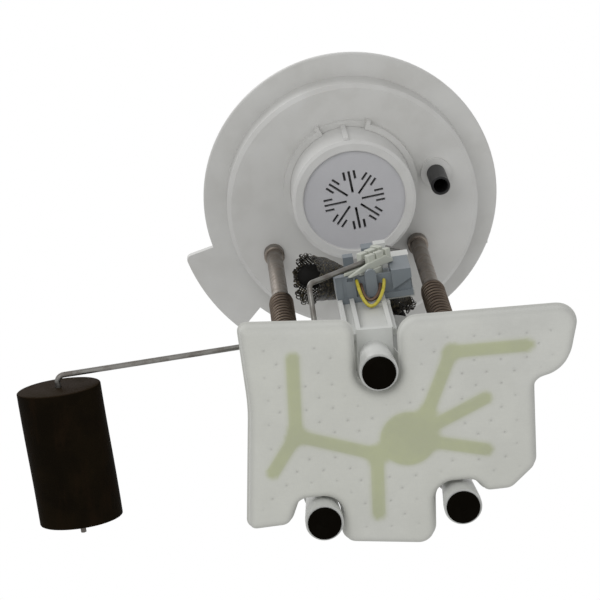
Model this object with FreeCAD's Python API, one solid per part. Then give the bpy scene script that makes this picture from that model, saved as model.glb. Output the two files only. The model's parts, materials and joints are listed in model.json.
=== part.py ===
import FreeCAD, Part
import math
import os

# Fuel pump module that hangs in a tank from a round cover. Millimetres, +Z up.
# Origin: centre of the cover rim's underside, which rests on the tank.
# +X runs along the line through both guide rods, the float arm reaches to -X.

V = FreeCAD.Vector
UP = V(0, 0, 1)

# Cover
RIM_R = 75.0
RIM_T = 4.0
SPIGOT_R = 63.4
SPIGOT_DEPTH = 18.0
SPIGOT_WALL = 3.0
SPIGOT_EDGE = 2.0
TRAY_T = 2.6
TAB_REACH = 15.0
TAB_FROM = 132.0
TAB_TO = 163.5
TAB_CORNER = 2.5
NOTCH_DEPTH = 7.0
NOTCH_FROM = 106.0
NOTCH_TO = 125.0
BEAD_H = 1.6
BEAD_W = 2.4
BEAD_TOP_IN = 0.4
RIM_EDGE = 0.6
RIM_TOP_EDGE = 1.0
TRAY_CORNER = 1.5
COVER_RIBS = 8
COVER_RIB_T = 1.8
COVER_RIB_IN = 37.0
COVER_RIB_H = 7.0

# Fit clearances
SLIDE_GAP = 0.08
PIVOT_GAP = 0.07
FREE_GAP = 0.3
HOSE_GAP = 0.2
SNAP_GAP = 0.1

# Depth that shapes reach into each other before they are joined
JOIN = 0.5

# Guide rods and their springs
ROD_R = 4.0
ROD_X = 36.4
ROD_MID_X = -5.0
ROD_Y = 21.4
ROD_END = -180.0
ROD_SEAT_DEPTH = 9.0
ROD_TIP = 0.8
COLLAR_R = 5.15
COLLAR_H = 6.0
SOCKET_WALL = 3.0
CLIP_R = 5.6
CLIP_T = 1.2
COLLAR_EDGE = 0.6
SPRING_END_GAP = 0.2
SPRING_TOP = -97.0
SPRING_R = 6.0
SPRING_WIRE_R = 0.8
SPRING_TURNS = 13
SPRING_STEPS = 10

# Vent valve
VALVE_X = -0.7
VALVE_Y = -11.8
VALVE_R = 30.5
VALVE_WALL = 2.2
VALVE_DEPTH = 30.0
VALVE_EDGE = 1.4
VALVE_RECESS = 1.8
VALVE_LID_R = 25.2
VALVE_LID_T = 1.8
VALVE_LEDGE = 2.2
VALVE_LEDGE_T = 1.4
VALVE_LEDGE_SLOPE = 2.0
VALVE_LIP = 0.5
VALVE_RIB_W = 2.4
VALVE_RIB_OUT = 1.2
VALVE_RIB_RISE = 3.0
VALVE_RING_W = 3.0
VALVE_RING_H = 6.0
VALVE_RING_GAP = 42.0
VALVE_RING_WEB = 2.0
VALVE_RING_TURN = -94.0
LUG_T = 2.0
LUG_OUT = 4.6
LUG_SPREAD = 22.0
SLOT_GROUPS = 8
SLOT_TURN = -98.0
SLOT_W = 1.2
SLOT_LONG_IN = 3.8
SLOT_OUT = 15.0
SLOT_SHORT_IN = 10.5
SLOT_SIDE = 2.6
VALVE_SEAT_R = 6.0
VALVE_SEAT_T = 2.5
SEAT_WALL = 1.6
SEAT_PROUD = 0.6
VALVE_PORT_R = 2.0
VALVE_FLOAT_R = 21.0
VALVE_LIFT = 3.2
VALVE_NOSE_R = 1.5
VALVE_NOSE_BASE_R = 4.5
VALVE_NOSE_H = 1.4
VALVE_POCKET_R = 6.4
VALVE_POCKET_H = 9.0

# Return tube
RETURN_X = 42.5
RETURN_Y = -14.9
RETURN_R = 4.7
RETURN_BORE_R = 3.5
RETURN_DROP = 26.0
RETURN_BOSS_H = 3.0
RETURN_EDGE = 0.4
RETURN_LIP = 0.3

# Pipe stubs on top of the cover
STUB_Z = 12.0
STUB_R = 3.95
STUB_BORE_R = 2.5
STUB_TIP = 19.0
STUB_BEAD_R = 5.3
STUB_BEAD_W = 2.0
RISER_R = 6.0
RISER_EDGE = 1.5
FEED_X = 16.0
FEED_Y = 30.0
FEED_STUB_END = 70.0
RETURN_STUB_END = 72.0
VENT_STUB_R = 4.75
VENT_STUB_BORE_R = 3.2
VENT_STUB_END = -68.0

# Electrical connector, above and below the cover
PLUG_X = 4.0
PLUG_Y = 47.5
PLUG_W = 26.0
PLUG_D = 12.0
PLUG_WALL = 2.0
PLUG_TOP = 9.0
PLUG_LOWER = 12.0
PLUG_CORNER = 2.5
LATCH_W = 6.0
LATCH_T = 1.5
LATCH_DROP = 2.0
PINS = 4
PIN_PITCH = 5.6
PIN_W = 2.0
PIN_T = 0.8
PIN_TOP = 4.0
PIN_BOTTOM = -27.0

# Fuel hose between pump and cover
HOSE_R = 5.5
HOSE_BORE_R = 4.0
HOSE_SEAT_GAP = 0.5
HOSE_FIRST_RUN = 21.5
BRAID_R = 7.4
BRAID_END_Y = 24.0
BARB_LEN = 13.0
BARB_BORE_R = 2.4
SHOULDER_R = 5.2
SHOULDER_T = 2.2
BARB_TIP = 3.6
BARB_NECK = 0.5
BARB_TAPER = 0.8
ARC_SHARE = 0.45
RIGHT_CORNERS = 1

# Pump
PUMP_X = 7.8
PUMP_Y = 45.6
CAN_R = 19.0
CAN_WALL = 1.5
CAN_BOTTOM = -190.0
CAN_TOP = -122.0
CAN_LIP = 1.2
CAN_EDGE = 0.8
CAN_LIP_IN = 1.6
SLEEVE_T = 2.2
SLEEVE_TOP = -130.0
SLEEVE_LIP = 2.0
SLEEVE_BORE_R = 15.0
INLET_T = 6.0
INLET_R = 6.5
INLET_BORE_R = 4.5
INLET_LEN = 17.0
INLET_EDGE = 1.0
INLET_STEP = 2.0
INLET_SLOPE = 1.5
IMPELLER_R = 14.6
IMPELLER_T = 3.4
IMPELLER_VANES = 20
VANE_DEPTH = 2.4
VANE_W = 2.2
RING_T = 5.6
RING_LID_T = 1.6
SHAFT_R = 1.6
BUSH_R = 4.0
BUSH_T = 4.0
ARMATURE_R = 12.4
ARMATURE_POLES = 8
POLE_SLOT_W = 2.0
POLE_SLOT_DEPTH = 5.0
ARMATURE_RISE = 4.0
COMMUTATOR_R = 8.0
COMMUTATOR_H = 5.0
COMMUTATOR_RISE = 2.0
COMMUTATOR_DROP = 7.4
MAGNET_T = 3.6
MAGNET_DROP = 10.9
MAGNET_SPAN = 124.0
MAGNET_RISE = 1.5
GLUE_GAP = 0.05
SHAFT_DROP = 1.5
BRUSH_GAP = 0.2
END_CAP_T = 8.0
END_CAP_DOME = 4.2
END_CAP_STEP = 1.6
END_CAP_IN = 2.0
END_CAP_SLOPE = 3.0
END_CAP_ROOF = 1.0
TERMINAL_ROOT = 3.0
BRUSH_W = 3.4
BRUSH_REACH = 6.2
BRUSH_H = 9.0
OUTLET_X = 13.5
OUTLET_Y = 48.6
OUTLET_TURN = -90.0
OUTLET_PORT_R = 2.0
OUTLET_R = 5.6
OUTLET_BORE_R = 3.6
OUTLET_Z = -109.0
OUTLET_TOP = -103.0
CHECK_R = 3.1
CHECK_H = 4.0
CHECK_LIFT = 1.5
CHECK_T = 1.2
CHECK_STEM_R = 1.2
CHECK_SEAT_RISE = 2.0
CHECK_GAP = 0.15
CHECK_ROOF = 2.0
OUTLET_EDGE = 1.6
TERMINAL_W = 3.0
TERMINAL_T = 0.8
TERMINAL_H = 7.0
TERMINAL_SPREAD = 8.0

# Carrier that holds the pump and slides on the rods
TRAVEL = 20.0
PLATE_BOTTOM = -197.0
PLATE_T = 3.0
CUP_WALL = 2.2
CUP_TOP = -125.0
NECK_HOLE_R = 12.6
HUB_R = 27.0
EYE_R = 6.8
EYE_TOP = -150.0
EYE_BOTTOM = -174.0
ROD_HOLE_R = 7.5
ARM_W = 15.0
WEB_T = 2.6
WEB_TOP = -168.0
SENDER_WEB_IN = 4.0
BOSS_R = 8.4
BOSS_ROOT_R = 6.2
BOSS_END = -228.0
BOSS_FLARE_H = 4.0
WEB_OUT_RISE = 3.0
DECK_PAST_FOOT = 12.0
DECK_BOTTOM = -205.0
DECK_T = 3.0
DECK_X0 = -11.9
DECK_X1 = 3.7
DECK_Y0 = 0.5
FEET = [(-4.6, 12.4), (-32.3, 80.4), (28.9, 78.0)]

# Rubber feet
FOOT_R = 7.0
FOOT_T = 2.0
FOOT_EDGE = 0.5
FOOT_STEM_R = 4.5
FOOT_STEM = 9.0

# Strainer bag: outline corners as x, y, corner radius
BAG_TOP = -208.0
BAG_BOTTOM = -222.0
BAG_SKIN = 1.2
BAG_SEAM = 5.0
BAG_BEVEL = 2.6
BAG_OUTLINE = [
    (-63.4, -10.2, 3), (-60.9, 28.0, 90), (-65.4, 84.4, 3), (-47.3, 83.4, 5),
    (-42.6, 71.4, 6), (-23.3, 71.4, 8.5), (-23.3, 93.6, 5), (16.4, 97.8, 7),
    (17.3, 68.7, 9), (35.6, 68.7, 7), (40.2, 74.7, 4), (51.4, 74.3, 6),
    (62.4, 64.3, 6), (62.8, 24.4, 6), (78.6, 20.4, 8), (84.4, -7.8, 7),
    (5.9, -7.4, 8), (5.9, 24.6, 10.2), (-14.9, 24.6, 10.2), (-14.9, -7.4, 5),
]
SKELETON_Z = -216.5
SKELETON_T = 3.0
SKELETON_W = 5.7
SKELETON_DISC_R = 12.7
SKELETON_RIBS = [
    [(-41.1, 6.0), (-42.2, 41.9)],
    [(-42.2, 41.9), (-54.1, 61.7)],
    [(-42.2, 41.9), (-7.2, 53.8)],
    [(-7.2, 53.8), (7.8, 45.6)],
    [(-7.2, 53.8), (-8.3, 85.3)],
    [(7.8, 45.6), (15.8, 36.9)],
    [(15.8, 36.9), (30.5, 10.2)],
    [(30.5, 10.2), (61.3, 9.5)],
    [(7.8, 45.6), (42.9, 31.2)],
    [(7.8, 45.6), (39.8, 57.9)],
]
NECK_R = 10.0
NECK_FLANGE_R = 12.0
NECK_FLANGE_T = 1.8
NECK_TOP = -198.0
NECK_EDGE = 1.0

# Level sender, drawn square to the axes about its pivot and then turned by YAW
YAW = -4.0
PIVOT_Z = -145.0
SENDER_X0 = -17.2
SENDER_X1 = 17.6
SENDER_TOP = -119.0
SENDER_BOTTOM = -155.0
SENDER_BACK_Y = 4.2
SENDER_BACK_T = 2.7
SENDER_FRONT_Y = -8.8
SIDE_BLOCK_W = 9.0
LEFT_BLOCK_H = 4.0
LEFT_SLOT = (-11.8, -9.0, -7.9, -6.3)
LEFT_GROOVE = (-14.2, -12.6, 0.5)
RIGHT_BLOCK_H = 20.0
RIGHT_STEP_H = 4.0
RIGHT_STEP_Y0 = -4.4
RIGHT_STEP_Y1 = 0.3
SENDER_FLOOR_RISE = 1.5
SENDER_FLOOR_T = 2.0
TONGUE_X = -1.0
TONGUE_W = 5.2
TONGUE_Y0 = -11.2
TONGUE_T = 2.4
TERMINAL_BLOCKS = [(-11.4, -6.6, -6.5, -114.0), (-2.2, 3.2, -9.7, -112.0)]
TERMINAL_BLOCK_BACK = 3.0
POST_R = 2.2
POST_CLEAR = 1.0
SENDER_REACH = 30.0
PANEL_T = 3.0
PANEL_TOP = -118.4
PANEL_X1 = 6.0
PANEL_STEP_Z = -148.0
CLAMP_X0 = 9.2
CLAMP_X1 = 18.4
CLAMP_H = 8.0
HOOK_X0 = 3.6
HOOK_Y0 = -10.5
HOOK_Z0 = -118.0
HOOK_Z1 = -112.5
SHELF_X0 = -3.0
SHELF_Y0 = 2.4
SHELF_Z0 = -165.0
SHELF_T = 2.0
RIB_Y0 = 1.5
RIB_T = 2.0
RIB_XS = [-16.2, -10.9, 3.2]
LEAF_X1 = 19.3
LEAF_Y0 = -8.5
LEAF_Y1 = -4.6
LEAF_T = 0.6
LEAF_H = 3.0
LEAF_TIP_H = 1.0
CARD_X0 = -13.5
CARD_X1 = 8.5
CARD_H = 12.0
CARD_T = 0.8
CARD_BOTTOM = -135.5
ROCKER_BACK_Y = -9.2
ROCKER_FRONT_Y = -15.6
ROCKER_L0 = -7.4
ROCKER_L1 = 10.7
ROCKER_H = 7.6
ROCKER_EDGE = 1.2
ROCKER_HUB_R = 5.4
ROCKER_HUB_Y = -2.0
ROCKER_CLAWS = [(-7.4, -2.4, 2.2), (-0.6, 4.6, 2.2), (6.6, 9.4, 3.6)]
WING_FAR = -17.0
WING_NEAR_H = 3.6
WING_TIP_H = 1.2
WING_T = 1.5
CONTACT_R = 15.5
CONTACT_W = 2.4
CONTACT_T = 0.5
CONTACT_ANGLE = 119.0
CONTACT_ROOT_W = 0.8
CONTACT_ROOT_Y = -5.0
CARD_GAP = 0.3
SWING = 58.0

# Float arm wire, in the sender's own axes, and the float on it
ARM_R = 1.25
ARM_Y = -12.0
ARM_JOG_Y = 9.0
ARM_JOG_X = -29.3
ARM_JOG_Z = -167.0
ARM_RUN_Z = -177.0
ARM_FAR_X = -145.5
ARM_FAR_Y = 4.1
ARM_FAR_Z = -195.0
ARM_TIP_Y = 79.5
ARM_BEND = 3.0
ARM_PAST_PIVOT = 9.2
FLOAT_W = 37.5
FLOAT_T = 22.8
FLOAT_LEN = 64.0
FLOAT_Y0 = 9.4

# Sender leads, in the sender's own axes
LEAD_R = 0.8
YELLOW_ROUTE = [
    (-7.4, -6.2, SENDER_BOTTOM), (-7.4, -5.8, -158.6), (-6.6, -1.5, -163.2), (-4.2, 2.6, -166.2),
    (-1.5, 2.9, -166.9), (2.0, 0.0, -165.2), (4.6, -4.2, -160.4), (4.9, -4.9, SENDER_BOTTOM),
]
BROWN_ROUTE = [
    (-5.8, -4.2, SENDER_BOTTOM), (-5.8, -3.9, -158.4), (-5.0, -0.4, -161.6), (-2.8, 1.4, -162.9),
    (0.0, 0.6, -162.6), (2.5, -2.1, -159.9), (3.0, -3.2, SENDER_BOTTOM),
]

# Places that follow from the sizes above
TRAY_BOTTOM = -SPIGOT_DEPTH
TRAY_TOP = TRAY_BOTTOM + TRAY_T
VALVE_BOTTOM = TRAY_BOTTOM - VALVE_DEPTH
LID_BOTTOM = VALVE_BOTTOM + VALVE_RECESS
LID_TOP = LID_BOTTOM + VALVE_LID_T
RODS = {"left": (ROD_MID_X - ROD_X, ROD_Y), "right": (ROD_MID_X + ROD_X, ROD_Y)}
PUMP = (PUMP_X, PUMP_Y)
VALVE = (VALVE_X, VALVE_Y)
OUTLET = (OUTLET_X, OUTLET_Y)
FEED = (FEED_X, FEED_Y)
RETURN = (RETURN_X, RETURN_Y)
CAN_BORE_R = CAN_R - CAN_WALL
PLUG_IN_R = CAN_BORE_R
INLET_TOP = CAN_BOTTOM + INLET_T
RING_TOP = INLET_TOP + RING_T
CAP_BOTTOM = CAN_TOP - END_CAP_T
CAP_TOP = CAN_TOP + END_CAP_DOME
COMMUTATOR_TOP = CAP_BOTTOM - COMMUTATOR_DROP
COMMUTATOR_BOTTOM = COMMUTATOR_TOP - COMMUTATOR_H
CUP_BORE_R = CAN_R + SLEEVE_T
CUP_R = CUP_BORE_R + CUP_WALL
LEDGE_TOP = CAN_BOTTOM - SLEEVE_LIP
PLATE_TOP = PLATE_BOTTOM + PLATE_T
FOOT_BOTTOM = BOSS_END - FOOT_T
ROD_CLIP_TOP = EYE_BOTTOM - FREE_GAP
NECK_BORE_R = INLET_R + HOSE_GAP
LEAD_PATHS = {"sender_lead_yellow": YELLOW_ROUTE, "sender_lead_brown": BROWN_ROUTE}
OUTLET_WAY = V(math.cos(math.radians(OUTLET_TURN)), math.sin(math.radians(OUTLET_TURN)), 0)
HOSE_START = V(OUTLET_X, OUTLET_Y, OUTLET_Z) + OUTLET_WAY * (OUTLET_R + HOSE_SEAT_GAP)
HOSE_ROUTE = [
    HOSE_START, HOSE_START + OUTLET_WAY * HOSE_FIRST_RUN, (-22.5, 5.5, -109.5), (-32.5, 4.8, -102.0),
    (-35.2, 6.5, -89.0), (-30.0, 9.2, -76.5), (-18.0, 12.5, -69.8), (-4.5, 16.0, -68.6), (6.0, 20.5, -65.2),
    (12.8, 26.0, -57.0), (15.6, 29.4, -46.0), (FEED_X, FEED_Y, -33.0),
    (FEED_X, FEED_Y, TRAY_BOTTOM - SHOULDER_T),
]


def at(xy, z):
    return V(xy[0], xy[1], z)


def cyl(r, z0, z1, xy=(0, 0)):
    return Part.makeCylinder(r, z1 - z0, at(xy, z0), UP)


def ring(r_out, r_in, z0, z1, xy=(0, 0)):
    return cyl(r_out, z0, z1, xy).cut(cyl(r_in, z0 - 1, z1 + 1, xy))


def box(x0, x1, y0, y1, z0, z1):
    return Part.makeBox(x1 - x0, y1 - y0, z1 - z0, V(x0, y0, z0))


def revolve(points, xy=(0, 0)):
    """A turned solid from its half section, given as radius and height."""
    pts = [V(r, 0, z) for r, z in points]
    face = Part.Face(Part.makePolygon(pts + pts[:1]))
    solid = face.revolve(V(0, 0, 0), UP, 360)
    solid.translate(at(xy, 0))
    return solid


def prism(points, z0, z1):
    pts = [V(x, y, z0) for x, y in points]
    return Part.Face(Part.makePolygon(pts + pts[:1])).extrude(V(0, 0, z1 - z0))


def fuse(shapes):
    out = shapes[0]
    for s in shapes[1:]:
        out = out.fuse(s)
    return out.removeSplitter()


def polar(r, degrees, xy=(0, 0)):
    a = math.radians(degrees)
    return (xy[0] + r * math.cos(a), xy[1] + r * math.sin(a))


def spun(shape, degrees, xy=(0, 0)):
    s = shape.copy()
    s.rotate(at(xy, 0), UP, degrees)
    return s


def rounded_outline(corners, z):
    """A closed wire of straight sides joined by tangent arcs."""
    n = len(corners)
    edges = []
    ends = []
    for i, (x, y, r) in enumerate(corners):
        p = V(x, y, z)
        before = V(corners[i - 1][0], corners[i - 1][1], z) - p
        after = V(corners[(i + 1) % n][0], corners[(i + 1) % n][1], z) - p
        half = before.getAngle(after) / 2
        reach = r / math.tan(half)
        before.normalize()
        after.normalize()
        mid = before + after
        mid.normalize()
        tip = p + mid * (r / math.sin(half) - r)
        ends.append((p + before * reach, tip, p + after * reach))
    for i, (a, tip, b) in enumerate(ends):
        edges.append(Part.Arc(a, tip, b).toShape())
        nxt = ends[(i + 1) % n][0]
        if (nxt - b).Length > 1e-6:
            edges.append(Part.LineSegment(b, nxt).toShape())
    return Part.Wire(edges)


def bent_path(points, radius=None):
    """Straight runs joined by tangent arcs. Each arc is as large as its runs allow, or has the given radius."""
    pts = [V(*p) for p in points]
    edges = []
    radii = []
    start = pts[0]
    for i in range(1, len(pts) - 1):
        before = pts[i - 1] - pts[i]
        after = pts[i + 1] - pts[i]
        half_turn = (math.pi - before.getAngle(after)) / 2
        r = radius or ARC_SHARE * min(before.Length, after.Length) / math.tan(half_turn)
        reach = r * math.tan(half_turn)
        before.normalize()
        after.normalize()
        mid = before + after
        mid.normalize()
        tip = pts[i] + mid * (r / math.cos(half_turn) - r)
        a = pts[i] + before * reach
        b = pts[i] + after * reach
        edges.append(Part.LineSegment(start, a).toShape())
        edges.append(Part.Arc(a, tip, b).toShape())
        radii.append(r)
        start = b
    edges.append(Part.LineSegment(start, pts[-1]).toShape())
    return Part.Wire(edges), radii


def swept(path, r):
    first = path.Edges[0]
    start = first.valueAt(first.FirstParameter)
    along = first.tangentAt(first.FirstParameter)
    section = Part.Wire(Part.makeCircle(r, start, along))
    return path.makePipeShell([section], True, True)


def report_cord(name, path, radii, cord, r):
    ratio = cord.Volume / (math.pi * r ** 2) / path.Length
    listed = [round(v, 1) for v in radii]
    print("%s length %.1f, radii %s, volume ratio %.4f" % (name, path.Length, listed, ratio))


def coil(r, wire_r, z0, z1, xy):
    """A helical spring whose wire lies between two heights. Its turns are short straight runs and its wire is
    square in section, to keep its faces few."""
    count = SPRING_TURNS * SPRING_STEPS
    turn = 2 * math.pi / SPRING_STEPS
    rise = (z1 - z0 - 2 * wire_r) / count
    points = []
    for k in range(count + 1):
        points.append(V(r * math.cos(turn * k), r * math.sin(turn * k), z0 + wire_r + rise * k))
    along = points[1] - points[0]
    along.normalize()
    up = along.cross(V(1, 0, 0))
    up.normalize()
    side = up.cross(along)
    corners = [points[0] + v * wire_r for v in (side, up, -side, -up)]
    section = Part.makePolygon(corners + corners[:1])
    spring = Part.makePolygon(points).makePipeShell([section], True, True, RIGHT_CORNERS)
    spring.translate(at(xy, 0))
    return spring


def sender_turn(shape):
    """Turns a shape that is drawn square to the axes to the sender's real direction."""
    return spun(shape, YAW)


# The cover

def stub(xy, end, z, r, bore_r, direction):
    """A riser on the tray with a pipe stub that leaves it sideways, and its bore."""
    length = abs(end - xy[0]) if direction.x else abs(end - xy[1])
    start = at(xy, z)
    top = z + RISER_R
    riser = revolve([
        (0, TRAY_TOP), (RISER_R, TRAY_TOP), (RISER_R, top - RISER_EDGE), (RISER_R - RISER_EDGE, top),
        (0, top),
    ], xy)
    pipe = Part.makeCylinder(r, length, start, direction)
    bead_at = start + direction * (length - STUB_TIP - STUB_BEAD_W)
    bead = Part.makeCylinder(r + STUB_BEAD_R - STUB_R, STUB_BEAD_W, bead_at, direction)
    bore = Part.makeCylinder(bore_r, length + 1, start, direction).fuse(cyl(bore_r, TRAY_TOP - 1, z, xy))
    return fuse([riser, pipe, bead]), bore


def cover_disc():
    inner = SPIGOT_R - SPIGOT_WALL
    return revolve([
        (0, TRAY_BOTTOM), (SPIGOT_R - SPIGOT_EDGE, TRAY_BOTTOM), (SPIGOT_R, TRAY_BOTTOM + SPIGOT_EDGE),
        (SPIGOT_R, 0), (RIM_R - RIM_EDGE, 0), (RIM_R, RIM_EDGE), (RIM_R, RIM_T - RIM_TOP_EDGE),
        (RIM_R - RIM_TOP_EDGE, RIM_T), (SPIGOT_R + BEAD_W, RIM_T), (SPIGOT_R + BEAD_W / 2, RIM_T + BEAD_H),
        (inner + BEAD_TOP_IN, RIM_T + BEAD_H), (inner, RIM_T), (inner, TRAY_TOP + TRAY_CORNER),
        (inner - TRAY_CORNER, TRAY_TOP), (0, TRAY_TOP),
    ])


def cover_tab():
    span = TAB_TO - TAB_FROM
    r_out = RIM_R + TAB_REACH
    tab = spun(Part.makeCylinder(r_out, RIM_T, V(0, 0, 0), UP, span), TAB_FROM)
    tab = tab.cut(cyl(SPIGOT_R, -1, RIM_T + 1))
    far = [e for e in tab.Edges if abs(e.Vertexes[0].X - e.Vertexes[-1].X) < 1e-6
           and abs(e.Vertexes[0].Y - e.Vertexes[-1].Y) < 1e-6
           and math.hypot(e.Vertexes[0].X, e.Vertexes[0].Y) > r_out - 1 and e.Length < RIM_T + 0.1]
    return tab.makeFillet(TAB_CORNER, far)


def cover_notch():
    r = RIM_R - NOTCH_DEPTH
    wedge = spun(Part.makeCylinder(RIM_R + 5, RIM_T + 2, V(0, 0, -1), UP, NOTCH_TO - NOTCH_FROM), NOTCH_FROM)
    return wedge.cut(cyl(r, -2, RIM_T + 2))


def connector_shell():
    w = PLUG_W / 2 + PLUG_WALL
    d = PLUG_D / 2 + PLUG_WALL
    z0 = TRAY_BOTTOM - PLUG_LOWER
    c = PLUG_CORNER
    outline = [(PLUG_X + i * w, PLUG_Y + j * d, c) for i, j in ((-1, -1), (1, -1), (1, 1), (-1, 1))]
    shell = Part.Face(rounded_outline(outline, z0)).extrude(V(0, 0, PLUG_TOP - z0))
    latch = box(PLUG_X - LATCH_W / 2, PLUG_X + LATCH_W / 2, PLUG_Y - d - LATCH_T, PLUG_Y - d, TRAY_TOP,
                PLUG_TOP - LATCH_DROP)
    x0 = PLUG_X - PLUG_W / 2
    x1 = PLUG_X + PLUG_W / 2
    y0 = PLUG_Y - PLUG_D / 2
    y1 = PLUG_Y + PLUG_D / 2
    upper = box(x0, x1, y0, y1, TRAY_TOP, PLUG_TOP + 1)
    lower = box(x0, x1, y0, y1, z0 - 1, TRAY_BOTTOM)
    return shell.fuse(latch), upper.fuse(lower)


def pin_boxes():
    first = PLUG_X - PIN_PITCH * (PINS - 1) / 2
    return [box(first + i * PIN_PITCH - PIN_W / 2, first + i * PIN_PITCH + PIN_W / 2,
                PLUG_Y - PIN_T / 2, PLUG_Y + PIN_T / 2, PIN_BOTTOM, PIN_TOP) for i in range(PINS)]


def valve_ring():
    """The collar that the vent valve snaps into, open beside its rib, with a lug on each side of the gap."""
    r_in = VALVE_R + SNAP_GAP
    r_out = r_in + VALVE_RING_W
    z0 = TRAY_BOTTOM - VALVE_RING_H
    collar = ring(r_out, r_in, z0, TRAY_BOTTOM + JOIN, VALVE)
    height = VALVE_RING_H - VALVE_RING_WEB + 1
    gap = Part.makeCylinder(r_out + 1, height, V(0, 0, z0 - 1), UP, VALVE_RING_GAP)
    gap = spun(gap, VALVE_RING_TURN - VALVE_RING_GAP / 2)
    gap.translate(at(VALVE, 0))
    parts = [collar.cut(gap)]
    for side in (-1, 1):
        turn = VALVE_RING_TURN + side * LUG_SPREAD
        lug = box(r_in, r_out + LUG_OUT - VALVE_RING_W, -LUG_T / 2, LUG_T / 2, z0, TRAY_BOTTOM + JOIN)
        lug = spun(lug, turn)
        lug.translate(at(VALVE, 0))
        parts.append(lug)
    return parts


def feed_barb():
    """The barb under the tray that carries the fuel hose, below its shoulder."""
    end = TRAY_BOTTOM - SHOULDER_T - BARB_LEN
    r = HOSE_BORE_R - HOSE_GAP
    shoulder = cyl(SHOULDER_R, TRAY_BOTTOM - SHOULDER_T, TRAY_BOTTOM + JOIN, FEED)
    barb = revolve([
        (0, TRAY_BOTTOM), (r - BARB_NECK, TRAY_BOTTOM), (r - BARB_NECK, end + BARB_TIP + BARB_NECK),
        (r, end + BARB_TIP),
        (r - BARB_TAPER, end), (0, end),
    ], FEED)
    return [shoulder, barb]


def make_cover():
    solids = [cover_disc(), cover_tab()]
    half = COVER_RIB_T / 2
    far = SPIGOT_R - SPIGOT_WALL + JOIN
    for k in range(COVER_RIBS):
        rib = box(COVER_RIB_IN, far, -half, half, TRAY_TOP - JOIN, TRAY_TOP + COVER_RIB_H)
        solids.append(spun(rib, 360 / COVER_RIBS * (k + 0.5)))
    solids += valve_ring() + feed_barb()
    rod_top = TRAY_BOTTOM + ROD_SEAT_DEPTH
    for xy in RODS.values():
        solids.append(cyl(ROD_R + SOCKET_WALL, TRAY_TOP - JOIN, rod_top + SOCKET_WALL, xy))
    solids.append(cyl(RETURN_R + SOCKET_WALL, TRAY_BOTTOM - RETURN_BOSS_H, TRAY_TOP, RETURN))
    seat_low = TRAY_BOTTOM - VALVE_SEAT_T + SEAT_PROUD
    solids.append(cyl(VALVE_SEAT_R + SEAT_WALL, seat_low, TRAY_BOTTOM + JOIN, VALVE))
    cover = fuse(solids)
    stubs = [
        stub(FEED, FEED_STUB_END, STUB_Z, STUB_R, STUB_BORE_R, V(1, 0, 0)),
        stub(RETURN, RETURN_STUB_END, STUB_Z, STUB_R, STUB_BORE_R, V(1, 0, 0)),
        stub(VALVE, VENT_STUB_END, STUB_Z, VENT_STUB_R, VENT_STUB_BORE_R, V(0, -1, 0)),
    ]
    shell, sockets = connector_shell()
    cuts = [cover_notch(), shell] + [solid for solid, bore in stubs] + pin_boxes()
    cuts += [cyl(ROD_R, TRAY_BOTTOM - 1, rod_top, xy) for xy in RODS.values()]
    cuts.append(cyl(STUB_BORE_R, TRAY_BOTTOM - SHOULDER_T - BARB_LEN - 1, TRAY_TOP + 1, FEED))
    cuts.append(cyl(RETURN_R, TRAY_BOTTOM - RETURN_BOSS_H - 1, TRAY_TOP + 1, RETURN))
    cuts.append(cyl(VALVE_PORT_R, TRAY_BOTTOM - 1, TRAY_TOP + 1, VALVE))
    cuts.append(cyl(VALVE_SEAT_R, TRAY_BOTTOM - VALVE_SEAT_T - 1, TRAY_BOTTOM, VALVE))
    for c in cuts:
        cover = cover.cut(c)
    shell = shell.cut(sockets)
    for pin in pin_boxes():
        shell = shell.cut(pin)
    pipes = Part.makeCompound([solid.cut(bore) for solid, bore in stubs])
    pins = Part.makeCompound(pin_boxes())
    return {"flange_cover": cover, "pipe_stubs": pipes, "connector_shell": shell, "connector_pins": pins}


# Rods and springs

def make_rods():
    parts = {}
    rod_top = TRAY_BOTTOM + ROD_SEAT_DEPTH
    collar_end = TRAY_BOTTOM - COLLAR_H
    wire_bottom = EYE_TOP + SPRING_END_GAP
    wire_top = SPRING_TOP - SPRING_END_GAP
    stops = []
    ends = []
    for side, xy in RODS.items():
        parts["guide_rod_" + side] = revolve([
            (0, rod_top), (ROD_R, rod_top), (ROD_R, TRAY_BOTTOM), (COLLAR_R, TRAY_BOTTOM),
            (COLLAR_R, collar_end + COLLAR_EDGE), (COLLAR_R - COLLAR_EDGE, collar_end), (ROD_R, collar_end),
            (ROD_R, ROD_END + ROD_TIP), (ROD_R - ROD_TIP, ROD_END), (0, ROD_END),
        ], xy)
        parts["spring_" + side] = coil(SPRING_R - SPRING_WIRE_R, SPRING_WIRE_R, wire_bottom, wire_top, xy)
        stops.append(ring(CLIP_R, ROD_R, SPRING_TOP, SPRING_TOP + CLIP_T, xy))
        ends.append(ring(CLIP_R, ROD_R, ROD_CLIP_TOP - CLIP_T, ROD_CLIP_TOP, xy))
    parts["spring_stop_clips"] = Part.makeCompound(stops)
    parts["rod_end_clips"] = Part.makeCompound(ends)
    return parts


# Vent valve

def valve_slots():
    """Radial slots in groups of one long slot and a short one on each side."""
    slots = []
    for k in range(SLOT_GROUPS):
        turn = SLOT_TURN + 360 / SLOT_GROUPS * k
        for side, r_in in ((0, SLOT_LONG_IN), (-1, SLOT_SHORT_IN), (1, SLOT_SHORT_IN)):
            y = side * SLOT_SIDE
            slot = box(r_in, SLOT_OUT, y - SLOT_W / 2, y + SLOT_W / 2, LID_BOTTOM - 1, LID_TOP + 1)
            slot = spun(slot, turn)
            slot.translate(at(VALVE, 0))
            slots.append(slot)
    return slots


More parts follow.
